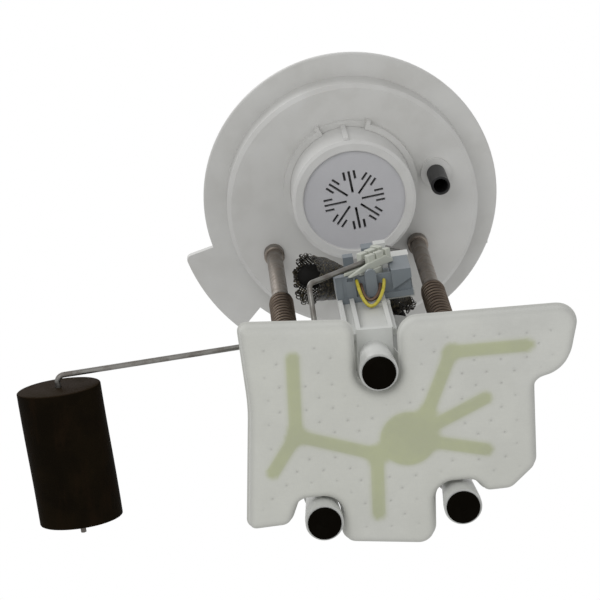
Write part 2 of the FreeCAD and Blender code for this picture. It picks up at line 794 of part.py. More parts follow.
def make_vent_valve():
    r_in = VALVE_R - VALVE_WALL
    ledge_r = VALVE_LID_R - VALVE_LEDGE
    ledge_top = LID_TOP + VALVE_LEDGE_T
    housing = revolve([
        (r_in, TRAY_BOTTOM), (VALVE_R, TRAY_BOTTOM), (VALVE_R, VALVE_BOTTOM + VALVE_EDGE),
        (VALVE_R - VALVE_EDGE, VALVE_BOTTOM),
        (VALVE_LID_R + VALVE_LIP, VALVE_BOTTOM), (VALVE_LID_R, VALVE_BOTTOM + VALVE_LIP),
        (VALVE_LID_R, LID_TOP),
        (ledge_r, LID_TOP), (ledge_r, ledge_top), (r_in, ledge_top + VALVE_LEDGE_SLOPE),
    ], VALVE)
    rib = box(VALVE_R - VALVE_LIP, VALVE_R + VALVE_RIB_OUT, -VALVE_RIB_W / 2, VALVE_RIB_W / 2,
              VALVE_BOTTOM + VALVE_RIB_RISE, TRAY_BOTTOM - VALVE_RING_WEB - FREE_GAP)
    rib = spun(rib, VALVE_RING_TURN)
    rib.translate(at(VALVE, 0))
    lid = cyl(VALVE_LID_R, LID_BOTTOM, LID_TOP, VALVE)
    lid = lid.cut(Part.makeCompound(valve_slots()))
    seat_z = TRAY_BOTTOM - VALVE_SEAT_T
    seat = ring(VALVE_SEAT_R, VALVE_PORT_R, seat_z, TRAY_BOTTOM, VALVE)
    nose_z = seat_z - VALVE_LIFT - FREE_GAP
    top = nose_z - VALVE_NOSE_H
    bottom = LID_TOP + FREE_GAP
    pocket_top = bottom + VALVE_POCKET_H
    body = revolve([
        (0, nose_z), (VALVE_NOSE_R, nose_z), (VALVE_NOSE_BASE_R, top), (VALVE_FLOAT_R - 1, top),
        (VALVE_FLOAT_R, top - 1),
        (VALVE_FLOAT_R, bottom), (VALVE_POCKET_R, bottom), (VALVE_POCKET_R, pocket_top), (0, pocket_top),
    ], VALVE)
    housing = housing.fuse(rib).removeSplitter()
    return {"vent_valve_housing": housing, "vent_valve_lid": lid, "vent_valve_seat": seat, "vent_valve_float": body}


def make_return_tube():
    z0 = TRAY_BOTTOM - RETURN_DROP
    tube = revolve([
        (RETURN_BORE_R, TRAY_TOP), (RETURN_R, TRAY_TOP), (RETURN_R, z0 + RETURN_EDGE),
        (RETURN_R - RETURN_EDGE, z0),
        (RETURN_BORE_R + RETURN_LIP, z0), (RETURN_BORE_R, z0 + RETURN_LIP),
    ], RETURN)
    return {"return_tube": tube}


def make_hose():
    """The hose, bored where the barbs push in, and the braided sleeve over the stretch behind the sender."""
    path, radii = bent_path(HOSE_ROUTE)
    hose = swept(path, HOSE_R)
    report_cord("fuel_hose", path, radii, hose, HOSE_R)
    seat = BARB_LEN + FREE_GAP
    hose = hose.cut(Part.makeCylinder(HOSE_BORE_R, seat, HOSE_START, OUTLET_WAY))
    hose = hose.cut(cyl(HOSE_BORE_R, TRAY_BOTTOM - SHOULDER_T - seat, TRAY_BOTTOM - SHOULDER_T, FEED))
    covered = Part.Wire(path.Edges[1:4])
    braid = swept(covered, BRAID_R).cut(swept(covered, HOSE_R + FREE_GAP))
    span = 3 * CAN_R
    braid = braid.common(box(-span, span, -span, BRAID_END_Y, OUTLET_Z - span, OUTLET_Z + span))
    return {"fuel_hose": hose, "hose_sleeve": braid}


# Pump

def make_impeller():
    z0 = INLET_TOP + FREE_GAP
    z1 = z0 + IMPELLER_T
    wheel = ring(IMPELLER_R, SHAFT_R, z0, z1, PUMP)
    cuts = []
    for k in range(IMPELLER_VANES):
        notch = box(IMPELLER_R - VANE_DEPTH, IMPELLER_R + 1, -VANE_W / 2, VANE_W / 2, z0 - 1, z1 + 1)
        notch = spun(notch, 360 / IMPELLER_VANES * k)
        notch.translate(at(PUMP, 0))
        cuts.append(notch)
    return wheel.cut(Part.makeCompound(cuts))


def make_armature():
    z0 = RING_TOP + ARMATURE_RISE
    z1 = COMMUTATOR_BOTTOM - COMMUTATOR_RISE
    core = ring(ARMATURE_R, SHAFT_R, z0, z1, PUMP)
    half = POLE_SLOT_W / 2
    cuts = []
    for k in range(ARMATURE_POLES):
        slot = box(ARMATURE_R - POLE_SLOT_DEPTH, ARMATURE_R + 1, -half, half, z0 - 1, z1 + 1)
        slot = spun(slot, 360 / ARMATURE_POLES * k)
        slot.translate(at(PUMP, 0))
        cuts.append(slot)
    return core.cut(Part.makeCompound(cuts))


def make_magnets():
    z0 = RING_TOP + MAGNET_RISE
    z1 = CAP_BOTTOM - MAGNET_DROP
    shell = ring(PLUG_IN_R - GLUE_GAP, PLUG_IN_R - MAGNET_T, z0, z1, PUMP)
    arcs = []
    for turn in (0, 180):
        wedge = Part.makeCylinder(CAN_R, z1 - z0, V(0, 0, z0), UP, MAGNET_SPAN)
        wedge = spun(wedge, turn - MAGNET_SPAN / 2)
        wedge.translate(at(PUMP, 0))
        arcs.append(shell.common(wedge))
    return Part.makeCompound(arcs)


def make_pump():
    parts = {}
    parts["pump_can"] = revolve([
        (CAN_R - CAN_EDGE, CAN_BOTTOM), (CAN_R, CAN_BOTTOM + CAN_EDGE), (CAN_R, CAN_TOP),
        (CAN_R - CAN_EDGE, CAN_TOP + CAN_LIP), (CAN_BORE_R - CAN_LIP_IN, CAN_TOP + CAN_LIP),
        (CAN_BORE_R - CAN_LIP_IN, CAN_TOP), (CAN_BORE_R, CAN_TOP), (CAN_BORE_R, CAN_BOTTOM),
    ], PUMP)
    step_r = SLEEVE_BORE_R - INLET_EDGE
    end = CAN_BOTTOM - INLET_LEN
    parts["pump_inlet_cover"] = revolve([
        (INLET_BORE_R, INLET_TOP), (PLUG_IN_R, INLET_TOP), (PLUG_IN_R, CAN_BOTTOM), (step_r, CAN_BOTTOM),
        (step_r - INLET_SLOPE, CAN_BOTTOM - INLET_STEP), (INLET_R, CAN_BOTTOM - INLET_STEP),
        (INLET_R, end + INLET_EDGE),
        (INLET_R - INLET_EDGE, end), (INLET_BORE_R, end),
    ], PUMP)
    ring_bore = IMPELLER_R + FREE_GAP
    lid_z = RING_TOP - RING_LID_T
    parts["impeller_housing"] = revolve([
        (BUSH_R, RING_TOP), (PLUG_IN_R, RING_TOP), (PLUG_IN_R, INLET_TOP), (ring_bore, INLET_TOP),
        (ring_bore, lid_z),
        (BUSH_R, lid_z),
    ], PUMP)
    parts["impeller"] = make_impeller()
    parts["lower_bush"] = ring(BUSH_R, SHAFT_R + PIVOT_GAP, lid_z, lid_z + BUSH_T, PUMP)
    parts["armature"] = make_armature()
    parts["commutator"] = ring(COMMUTATOR_R, SHAFT_R, COMMUTATOR_BOTTOM, COMMUTATOR_TOP, PUMP)
    parts["field_magnets"] = make_magnets()
    parts["rotor_shaft"] = cyl(SHAFT_R, INLET_TOP - SHAFT_DROP, CAP_BOTTOM + BUSH_T, PUMP)
    bush_roof = CAP_BOTTOM + BUSH_T + END_CAP_ROOF
    dome_r = PLUG_IN_R - END_CAP_IN
    cap = revolve([
        (0, bush_roof), (BUSH_R, bush_roof), (BUSH_R, CAP_BOTTOM), (PLUG_IN_R, CAP_BOTTOM),
        (PLUG_IN_R, CAN_TOP),
        (dome_r, CAN_TOP), (dome_r, CAN_TOP + END_CAP_STEP), (dome_r - END_CAP_SLOPE, CAP_TOP), (0, CAP_TOP),
    ], PUMP)
    cap = cap.cut(cyl(OUTLET_PORT_R, CAP_BOTTOM - 1, CAP_TOP + 1, OUTLET))
    parts["upper_bush"] = ring(BUSH_R, SHAFT_R + PIVOT_GAP, CAP_BOTTOM, CAP_BOTTOM + BUSH_T, PUMP)
    brushes = []
    terminals = []
    brush0 = COMMUTATOR_TOP + BRUSH_GAP
    for side in (-1, 1):
        x = PUMP_X
        y = PUMP_Y + side * BRUSH_REACH
        h = BRUSH_W / 2
        wide = h + SNAP_GAP
        brushes.append(box(x - h, x + h, y - h, y + h, brush0, brush0 + BRUSH_H))
        cap = cap.cut(box(x - wide, x + wide, y - wide, y + wide, CAP_BOTTOM - 1, brush0 + BRUSH_H + FREE_GAP))
        tx = PUMP_X - TERMINAL_SPREAD
        ty = PUMP_Y + side * TERMINAL_SPREAD
        blade = box(tx - TERMINAL_W / 2, tx + TERMINAL_W / 2, ty - TERMINAL_T / 2, ty + TERMINAL_T / 2,
                    CAP_TOP - TERMINAL_ROOT, CAP_TOP + TERMINAL_H)
        cap = cap.cut(blade)
        terminals.append(blade)
    parts["pump_end_cap"] = cap
    parts["brushes"] = Part.makeCompound(brushes)
    parts["pump_terminals"] = Part.makeCompound(terminals)
    parts["isolator_sleeve"] = revolve([
        (CAN_R, SLEEVE_TOP), (CUP_BORE_R, SLEEVE_TOP), (CUP_BORE_R, LEDGE_TOP), (SLEEVE_BORE_R, LEDGE_TOP),
        (SLEEVE_BORE_R, CAN_BOTTOM), (CAN_R, CAN_BOTTOM),
    ], PUMP)
    return parts


def make_outlet():
    """Elbow on the pump's outlet, with the check valve that keeps the line full."""
    z0 = CAP_TOP
    seat = z0 + CHECK_SEAT_RISE
    barb_r = HOSE_BORE_R - HOSE_GAP
    tower = revolve([
        (0, z0), (OUTLET_R, z0), (OUTLET_R, OUTLET_TOP - OUTLET_EDGE / 2),
        (OUTLET_R - OUTLET_EDGE, OUTLET_TOP), (0, OUTLET_TOP),
    ], OUTLET)
    start = V(OUTLET_X, OUTLET_Y, OUTLET_Z)
    back = OUTLET_WAY
    barb = Part.makeCylinder(barb_r - BARB_NECK, OUTLET_R + BARB_LEN, start, back)
    tip_at = start + back * (OUTLET_R + BARB_LEN - BARB_TIP)
    tip = Part.makeCone(barb_r, barb_r - BARB_TAPER, BARB_TIP, tip_at, back)
    tower = tower.fuse(barb).fuse(tip).removeSplitter()
    tower = tower.cut(Part.makeCylinder(BARB_BORE_R, OUTLET_R + BARB_LEN + 1, start, back))
    tower = tower.cut(cyl(OUTLET_BORE_R, seat, OUTLET_TOP - CHECK_ROOF, OUTLET))
    tower = tower.cut(cyl(OUTLET_PORT_R, z0 - 1, seat + 1, OUTLET))
    poppet_z = seat + CHECK_GAP
    stem_z = poppet_z + CHECK_T
    poppet = revolve([
        (0, poppet_z), (CHECK_R, poppet_z), (CHECK_R, stem_z), (CHECK_STEM_R, stem_z),
        (CHECK_STEM_R, poppet_z + CHECK_H),
        (0, poppet_z + CHECK_H),
    ], OUTLET)
    return {"outlet_elbow": tower, "check_valve_poppet": poppet}


# Carrier

def spoke(end, width0, width1, z0, z1):
    """A tapered bar from the pump's axis to a point."""
    dx = end[0] - PUMP_X
    dy = end[1] - PUMP_Y
    n = math.hypot(dx, dy)
    nx = -dy / n
    ny = dx / n
    return prism([
        (PUMP_X + nx * width0 / 2, PUMP_Y + ny * width0 / 2),
        (end[0] + nx * width1 / 2, end[1] + ny * width1 / 2),
        (end[0] - nx * width1 / 2, end[1] - ny * width1 / 2),
        (PUMP_X - nx * width0 / 2, PUMP_Y - ny * width0 / 2),
    ], z0, z1)


def sloped_web(end, z_low, z_in, z_out):
    """An upright web from the cup to a boss, lower at its outer end."""
    dx = end[0] - PUMP_X
    dy = end[1] - PUMP_Y
    n = math.hypot(dx, dy)
    corners = [V(0, 0, z_low), V(n, 0, z_low), V(n, 0, z_out), V(0, 0, z_in)]
    web = Part.Face(Part.makePolygon(corners + corners[:1])).extrude(V(0, WEB_T, 0))
    web.translate(V(0, -WEB_T / 2, 0))
    web = spun(web, math.degrees(math.atan2(dy, dx)))
    web.translate(at(PUMP, 0))
    return web


def foot_boss(xy, root_z):
    return revolve([
        (0, root_z), (BOSS_ROOT_R, root_z), (BOSS_R, BOSS_END + BOSS_FLARE_H), (BOSS_R, BOSS_END), (0, BOSS_END),
    ], xy)


def sender_clamp():
    """The block of the carrier that holds the sender down on its right side."""
    z0 = SENDER_BOTTOM + RIGHT_BLOCK_H
    return box(CLAMP_X0, CLAMP_X1, SENDER_FRONT_Y, SENDER_BACK_Y + PANEL_T, z0, z0 + CLAMP_H)


def sender_mount():
    """The upright panel behind the sender with its ribs, shelf, clamp and top hook, square to the sender."""
    back = SENDER_BACK_Y
    far = back + PANEL_T
    parts = [
        box(SENDER_X0, PANEL_X1, back, far, PLATE_BOTTOM, PANEL_TOP),
        box(PANEL_X1 - 1, CLAMP_X1, back, far, PANEL_STEP_Z, PANEL_TOP),
        sender_clamp(),
        box(HOOK_X0, CLAMP_X0, back, far, PANEL_TOP - 1, HOOK_Z1),
        box(HOOK_X0, CLAMP_X0, HOOK_Y0, far, HOOK_Z0, HOOK_Z1),
        box(SHELF_X0, PANEL_X1, SHELF_Y0, back + JOIN, SHELF_Z0, SHELF_Z0 + SHELF_T),
    ]
    half = RIB_T / 2
    for x in RIB_XS:
        parts.append(box(x - half, x + half, RIB_Y0, back + JOIN, DECK_BOTTOM + DECK_T, SENDER_BOTTOM - 1))
    return [sender_turn(p) for p in parts]


def make_carrier():
    floor0 = PLATE_BOTTOM
    solids = [cyl(HUB_R, floor0, PLATE_TOP, PUMP), cyl(CUP_R, floor0, CUP_TOP, PUMP)]
    ends = list(RODS.values()) + FEET
    for end in ends:
        solids.append(spoke(end, 2 * ARM_W, ARM_W, floor0, PLATE_TOP))
        solids.append(cyl(ARM_W / 2, floor0, PLATE_TOP, end))
    for end in FEET[1:]:
        solids.append(sloped_web(end, PLATE_TOP - JOIN, WEB_TOP, PLATE_TOP + WEB_OUT_RISE))
        solids.append(foot_boss(end, PLATE_TOP))
    for end in RODS.values():
        solids.append(sloped_web(end, PLATE_TOP - JOIN, EYE_TOP, EYE_TOP - WEB_OUT_RISE))
        solids.append(cyl(EYE_R, EYE_BOTTOM, EYE_TOP, end))
    deck_end = FEET[0][1] + DECK_PAST_FOOT
    solids.append(box(DECK_X0, DECK_X1, DECK_Y0, deck_end, DECK_BOTTOM, DECK_BOTTOM + DECK_T))
    for x in (DECK_X0, DECK_X1 - RIB_T):
        solids.append(box(x, x + RIB_T, RIB_Y0 + 1, deck_end, DECK_BOTTOM + 1, PLATE_TOP))
    solids.append(foot_boss(FEET[0], DECK_BOTTOM + DECK_T))
    solids += sender_mount()
    web_start = SENDER_BACK_Y + PANEL_T - JOIN
    web_end = PUMP_Y - CUP_R + SENDER_WEB_IN
    for x in (SENDER_X0 + SENDER_WEB_IN, PANEL_X1 - SENDER_WEB_IN):
        solids.append(box(x - WEB_T / 2, x + WEB_T / 2, web_start, web_end, PLATE_TOP - JOIN, CUP_TOP - SENDER_WEB_IN))
    carrier = fuse(solids)
    cuts = [cyl(CUP_BORE_R, LEDGE_TOP, CUP_TOP + 1, PUMP), cyl(NECK_HOLE_R, floor0 - 1, LEDGE_TOP + 1, PUMP)]
    for end in RODS.values():
        cuts.append(cyl(ROD_R + SLIDE_GAP, EYE_BOTTOM - 1, EYE_TOP + 1, end))
        cuts.append(cyl(ROD_HOLE_R, floor0 - 1, EYE_BOTTOM, end))
    for end in FEET:
        cuts.append(cyl(FOOT_STEM_R, BOSS_END - 1, BOSS_END + FOOT_STEM, end))
    for c in cuts:
        carrier = carrier.cut(c)
    return {"carrier_frame": carrier}


def make_feet():
    parts = {}
    stem_top = BOSS_END + FOOT_STEM
    for i, xy in enumerate(FEET):
        parts["rubber_foot_%d" % (i + 1)] = revolve([
            (0, FOOT_BOTTOM), (FOOT_R - FOOT_EDGE, FOOT_BOTTOM), (FOOT_R, FOOT_BOTTOM + FOOT_EDGE),
            (FOOT_R, BOSS_END),
            (FOOT_STEM_R, BOSS_END), (FOOT_STEM_R, stem_top - FOOT_EDGE),
            (FOOT_STEM_R - FOOT_EDGE, stem_top), (0, stem_top),
        ], xy)
    return parts


# Strainer

def make_strainer():
    outline = rounded_outline(BAG_OUTLINE, BAG_BOTTOM)
    bag = Part.Face(outline).extrude(V(0, 0, BAG_TOP - BAG_BOTTOM))
    lower = [e for e in bag.Edges if max(v.Z for v in e.Vertexes) < BAG_BOTTOM + 0.01]
    bag = bag.makeChamfer(BAG_BEVEL, lower)
    inner = outline.makeOffset2D(-BAG_SEAM)
    cavity = Part.Face(inner).extrude(V(0, 0, BAG_TOP - BAG_BOTTOM - 2 * BAG_SKIN))
    cavity.translate(V(0, 0, BAG_SKIN))
    bag = bag.cut(cavity).cut(cyl(NECK_R, BAG_TOP - BAG_SKIN - 1, BAG_TOP + 1, PUMP))
    z0 = SKELETON_Z
    z1 = SKELETON_Z + SKELETON_T
    ribs = [cyl(SKELETON_DISC_R, z0, z1, PUMP)]
    for a, b in SKELETON_RIBS:
        n = math.hypot(b[0] - a[0], b[1] - a[1])
        bar = box(0, n, -SKELETON_W / 2, SKELETON_W / 2, z0, z1)
        bar = spun(bar, math.degrees(math.atan2(b[1] - a[1], b[0] - a[0])))
        bar.translate(V(a[0], a[1], 0))
        ribs.append(bar)
    for joint in sorted(set(p for rib in SKELETON_RIBS for p in rib) - {PUMP}):
        ribs.append(cyl(SKELETON_W / 2, z0, z1, joint))
    flange_top = BAG_TOP - BAG_SKIN
    flange_low = flange_top - NECK_FLANGE_T
    ribs.append(cyl(NECK_R, z1 - JOIN, flange_low, PUMP))
    skeleton = fuse(ribs).cut(cyl(NECK_BORE_R, z1, flange_top + 1, PUMP))
    neck = revolve([
        (NECK_BORE_R, NECK_TOP), (NECK_R - NECK_EDGE, NECK_TOP), (NECK_R, NECK_TOP - NECK_EDGE),
        (NECK_R, flange_top),
        (NECK_FLANGE_R, flange_top), (NECK_FLANGE_R, flange_low), (NECK_BORE_R, flange_low),
    ], PUMP)
    return {"strainer_bag": bag, "strainer_skeleton": skeleton, "strainer_neck": neck}


# Level sender and float

def make_float_arm():
    """One bent wire: out of the rocker, a jog past the guide rod, the long run, and the float's axle."""
    rise = math.atan2(PIVOT_Z - ARM_JOG_Z, -ARM_JOG_X)
    start = (ARM_PAST_PIVOT * math.cos(rise), ARM_Y, PIVOT_Z + ARM_PAST_PIVOT * math.sin(rise))
    path, radii = bent_path([
        start, (ARM_JOG_X, ARM_Y, ARM_JOG_Z), (ARM_JOG_X, ARM_JOG_Y, ARM_RUN_Z),
        (ARM_FAR_X, ARM_FAR_Y, ARM_FAR_Z), (ARM_FAR_X, ARM_TIP_Y, ARM_FAR_Z),
    ], ARM_BEND)
    return swept(path, ARM_R), rise


def sender_cylinder(r, y0, y1, x=0.0, z=PIVOT_Z):
    return Part.makeCylinder(r, y1 - y0, V(x, y0, z), V(0, 1, 0))


def make_rocker(wire, rise):
    """The bar that holds the wire in three claws, with a thin wing behind the wire and a hub on the post."""
    half = ROCKER_H / 2
    bar = box(ROCKER_L0, ROCKER_L1, ROCKER_FRONT_Y, ROCKER_BACK_Y, -half, half)
    bar = bar.makeFillet(ROCKER_EDGE, [e for e in bar.Edges if abs(e.Vertexes[0].Y - e.Vertexes[-1].Y) > 1])
    claws = [box(a, b, ROCKER_FRONT_Y, ROCKER_BACK_Y, half - ROCKER_EDGE, half + h) for a, b, h in ROCKER_CLAWS]
    near = ROCKER_L0 + ROCKER_EDGE
    outline = [(WING_FAR, -WING_TIP_H), (near, -WING_NEAR_H), (near, WING_TIP_H), (WING_FAR, WING_TIP_H)]
    corners = [V(x, ROCKER_BACK_Y - WING_T, z) for x, z in outline]
    wing = Part.Face(Part.makePolygon(corners + corners[:1])).extrude(V(0, WING_T, 0))
    body = fuse([bar, wing] + claws)
    body.rotate(V(0, 0, 0), V(0, 1, 0), -math.degrees(rise))
    body.translate(V(0, 0, PIVOT_Z))
    hub = sender_cylinder(ROCKER_HUB_R, ROCKER_BACK_Y - JOIN, ROCKER_HUB_Y)
    body = body.fuse(hub).removeSplitter()
    body = body.cut(sender_cylinder(POST_R + PIVOT_GAP, ROCKER_BACK_Y, ROCKER_HUB_Y + 1))
    return body.cut(wire)


def make_contact():
    """A spring finger from the rocker's hub to the resistor card."""
    a = math.radians(CONTACT_ANGLE)
    y1 = SENDER_BACK_Y - SENDER_BACK_T - CARD_T - CARD_GAP
    y0 = y1 - CONTACT_T
    blade = box(ROCKER_HUB_R, CONTACT_R, y0, y1, -CONTACT_W / 2, CONTACT_W / 2)
    riser = box(ROCKER_HUB_R, ROCKER_HUB_R + CONTACT_ROOT_W, CONTACT_ROOT_Y, y1, -CONTACT_W / 2, CONTACT_W / 2)
    finger = blade.fuse(riser).removeSplitter()
    finger.rotate(V(0, 0, 0), V(0, 1, 0), -math.degrees(a))
    finger.translate(V(0, 0, PIVOT_Z))
    return finger


def sender_right_block(face):
    """The right block: full depth above, and a lower step whose back edge runs at a slant."""
    x0 = SENDER_X1 - SIDE_BLOCK_W
    step_z = SENDER_BOTTOM + RIGHT_STEP_H
    upper = box(x0, SENDER_X1, SENDER_FRONT_Y, face + JOIN, step_z, SENDER_BOTTOM + RIGHT_BLOCK_H)
    lower = prism([
        (x0, SENDER_FRONT_Y), (SENDER_X1, SENDER_FRONT_Y), (SENDER_X1, RIGHT_STEP_Y0), (x0, RIGHT_STEP_Y1),
    ], SENDER_BOTTOM, step_z)
    return [upper, lower]


def sender_left_block(face):
    """The low block on the left with its slot and groove."""
    block = box(SENDER_X0, SENDER_X0 + SIDE_BLOCK_W, SENDER_FRONT_Y, face + JOIN, SENDER_BOTTOM,
                SENDER_BOTTOM + LEFT_BLOCK_H)
    x0, x1, y0, y1 = LEFT_SLOT
    block = block.cut(box(x0, x1, y0, y1, SENDER_BOTTOM - 1, SENDER_BOTTOM + LEFT_BLOCK_H - 1))
    x0, x1, depth = LEFT_GROOVE
    return block.cut(box(x0, x1, SENDER_FRONT_Y - 1, SENDER_BACK_Y, SENDER_BOTTOM - 1, SENDER_BOTTOM + depth))


def sender_tongue(face):
    """A tongue under the body with a round end that points forward."""
    r = TONGUE_W / 2
    z0 = SENDER_BOTTOM - TONGUE_T
    bar = box(TONGUE_X - r, TONGUE_X + r, TONGUE_Y0 + r, face, z0, SENDER_BOTTOM)
    root = box(TONGUE_X - r, TONGUE_X + r, SENDER_FRONT_Y + SENDER_FLOOR_T, face, SENDER_BOTTOM - JOIN,
               SENDER_BOTTOM + SENDER_FLOOR_RISE + JOIN)
    return bar.fuse(cyl(r, z0, SENDER_BOTTOM, (TONGUE_X, TONGUE_Y0 + r))).fuse(root)


def make_leaf():
    """The thin metal leaf that leaves the hook's side and points to the right."""
    outline = [(CLAMP_X0, 0), (LEAF_X1, LEAF_TIP_H), (LEAF_X1, 2 * LEAF_TIP_H), (CLAMP_X0, LEAF_H)]
    corners = [V(x, LEAF_Y0, HOOK_Z0 + h) for x, h in outline]
    leaf = Part.Face(Part.makePolygon(corners + corners[:1])).extrude(V(0, LEAF_T, 0))
    turn = math.degrees(math.atan2(LEAF_Y1 - LEAF_Y0, LEAF_X1 - CLAMP_X0))
    leaf.rotate(V(CLAMP_X0, LEAF_Y0 + LEAF_T, HOOK_Z0), UP, turn)
    return leaf


def make_float():
    """An oval bar with a bore that turns on the wire's far stretch."""
    oval = Part.Wire(Part.Ellipse(V(0, 0, 0), FLOAT_W / 2, FLOAT_T / 2).toShape())
    bar = Part.Face(oval).extrude(V(0, 0, FLOAT_LEN))
    bar.rotate(V(0, 0, 0), V(1, 0, 0), -90)
    bar.translate(V(ARM_FAR_X, FLOAT_Y0, ARM_FAR_Z))
    far = FLOAT_Y0 + FLOAT_LEN
    return bar.cut(sender_cylinder(ARM_R + PIVOT_GAP, FLOAT_Y0 - 1, far + 1, ARM_FAR_X, ARM_FAR_Z))


def make_sender():
    back = SENDER_BACK_Y
    face = back - SENDER_BACK_T
    plate = box(SENDER_X0, SENDER_X1, face, back, SENDER_BOTTOM, SENDER_TOP)
    floor_z = SENDER_BOTTOM + SENDER_FLOOR_RISE
    floor = box(SENDER_X0 + JOIN, SENDER_X1 - JOIN, SENDER_FRONT_Y + SENDER_FLOOR_RISE, face + JOIN, floor_z,
                floor_z + SENDER_FLOOR_T)
    post = sender_cylinder(POST_R, ROCKER_BACK_Y + FREE_GAP, face + JOIN)
    pieces = [plate, floor, sender_left_block(face), sender_tongue(face), post] + sender_right_block(face)
    for x0, x1, y0, top in TERMINAL_BLOCKS:
        pieces.append(box(x0, x1, y0, TERMINAL_BLOCK_BACK, SENDER_TOP - JOIN, top))
    body = fuse(pieces)
    sweep_room = sender_cylinder(ROCKER_HUB_R + POST_CLEAR, -SENDER_REACH, face)
    body = body.cut(sweep_room.cut(sender_cylinder(POST_R, -SENDER_REACH, SENDER_REACH))).cut(sender_clamp())
    card = box(CARD_X0, CARD_X1, face - CARD_T, face, CARD_BOTTOM, CARD_BOTTOM + CARD_H)
    card = card.cut(sender_cylinder(ROCKER_HUB_R + POST_CLEAR, -SENDER_REACH, SENDER_REACH))
    body = body.cut(card)
    wire, rise = make_float_arm()
    rocker = make_rocker(wire, rise)
    shapes = {
        "sender_body": body, "resistor_card": card, "wiper_rocker": rocker, "wiper_contact": make_contact(),
        "sender_leaf": make_leaf(), "float_arm": wire, "float": make_float(),
    }
    for name, route in LEAD_PATHS.items():
        path, radii = bent_path(route)
        lead = swept(path, LEAD_R)
        report_cord(name, path, radii, lead, LEAD_R)
        shapes[name] = lead
    return {name: sender_turn(s) for name, s in shapes.items()}


def main():
    os.makedirs("parts", exist_ok=True)
    parts = {}
    for make in (make_cover, make_rods, make_vent_valve, make_return_tube, make_hose, make_pump, make_outlet,
                 make_carrier, make_feet, make_strainer, make_sender):
        parts.update(make())
    for name, shape in parts.items():
        shape.exportStep("parts/%s.step" % name)
        print("%-22s solids %d valid %s volume %.1f" % (name, len(shape.Solids), shape.isValid(), shape.Volume))
    print("carrier travel %.1f, check valve lift %.1f, arm swing %.1f degrees" % (TRAVEL, CHECK_LIFT, SWING))
    print(len(parts), "nodes")


main()
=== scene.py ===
import json
import math

import bpy
import numpy as np
from mathutils import Matrix, Vector
from mathutils.geometry import delaunay_2d_cdt


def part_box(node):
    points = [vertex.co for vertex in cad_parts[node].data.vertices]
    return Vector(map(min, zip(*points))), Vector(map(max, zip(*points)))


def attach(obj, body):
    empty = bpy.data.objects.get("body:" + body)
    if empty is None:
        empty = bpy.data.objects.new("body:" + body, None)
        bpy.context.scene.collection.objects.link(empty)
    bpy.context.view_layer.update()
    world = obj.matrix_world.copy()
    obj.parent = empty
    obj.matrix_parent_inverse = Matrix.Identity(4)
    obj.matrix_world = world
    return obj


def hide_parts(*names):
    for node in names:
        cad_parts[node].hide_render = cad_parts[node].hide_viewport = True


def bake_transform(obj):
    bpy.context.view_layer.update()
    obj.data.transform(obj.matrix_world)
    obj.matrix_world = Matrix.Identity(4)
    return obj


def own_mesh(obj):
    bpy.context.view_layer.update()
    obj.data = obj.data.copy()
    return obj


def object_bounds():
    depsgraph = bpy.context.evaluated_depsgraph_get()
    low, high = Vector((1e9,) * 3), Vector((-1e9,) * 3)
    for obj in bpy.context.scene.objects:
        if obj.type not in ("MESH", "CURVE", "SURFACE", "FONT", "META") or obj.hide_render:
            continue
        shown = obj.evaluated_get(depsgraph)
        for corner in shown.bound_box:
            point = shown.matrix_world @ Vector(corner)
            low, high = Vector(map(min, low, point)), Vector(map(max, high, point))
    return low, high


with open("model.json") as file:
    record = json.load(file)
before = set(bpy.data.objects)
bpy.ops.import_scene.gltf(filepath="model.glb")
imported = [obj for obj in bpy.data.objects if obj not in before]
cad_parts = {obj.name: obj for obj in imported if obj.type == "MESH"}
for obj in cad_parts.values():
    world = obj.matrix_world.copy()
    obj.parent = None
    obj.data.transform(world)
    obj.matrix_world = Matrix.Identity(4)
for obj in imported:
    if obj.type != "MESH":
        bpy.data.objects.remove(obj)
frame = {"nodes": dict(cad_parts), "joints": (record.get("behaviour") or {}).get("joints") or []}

bl_info = {
    "name": "Fuel pump module looks",
    "version": (1, 0, 0),
    "blender": (4, 5, 0),
    "location": "View3D > Sidebar > Fuel Pump",
    "description": "Dresses an in-tank fuel pump module and its stage",
    "category": "Object",
}

CAD_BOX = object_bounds()
MM = 0.001
SEED = 11

# Camera: where the photograph was taken from, seen from below the strainer
CAMERA_AT = (-0.0696, -0.3817, -1.2975)
CAMERA_RIGHT = (0.9965, 0.0647, -0.0526)
CAMERA_UP = (0.0780, -0.9459, 0.3147)
CAMERA_BACK = (-0.0294, -0.3177, -0.9477)
CAMERA_LENS = 159.0
CAMERA_SENSOR = 36.0

# Rods and their springs, in millimetres as in the frame, and the turn of the level sender
ROD_X = {"left": -41.4, "right": 31.4}
ROD_Y = 21.4
SPRING_TOP = -97.2
SPRING_BOTTOM = -149.8
SPRING_R = 5.2
SPRING_AROUND = 14
SPRING_STEPS = 36
SPRING_END_TURNS = 0.75
SPRING_END_PACE = 0.24
SPRING_TIP = 0.6
YAW = math.radians(-4.0)

# Strainer bag: outline corners as x, y, corner radius
BAG_TOP = -208.0
BAG_BOTTOM = -222.0
BAG_SPACING = 0.8
BAG_OUTLINE = [
    (-63.4, -10.2, 3), (-60.9, 28.0, 90), (-65.4, 84.4, 3), (-47.3, 83.4, 5),
    (-42.6, 71.4, 6), (-23.3, 71.4, 8.5), (-23.3, 93.6, 5), (16.4, 97.8, 7),
    (17.3, 68.7, 9), (35.6, 68.7, 7), (40.2, 74.7, 4), (51.4, 74.3, 6),
    (62.4, 64.3, 6), (62.8, 24.4, 6), (78.0, 20.4, 15), (84.4, -7.8, 8),
    (5.9, -7.4, 8), (5.9, 24.6, 10.2), (-14.9, 24.6, 10.2), (-14.9, -7.4, 5),
]

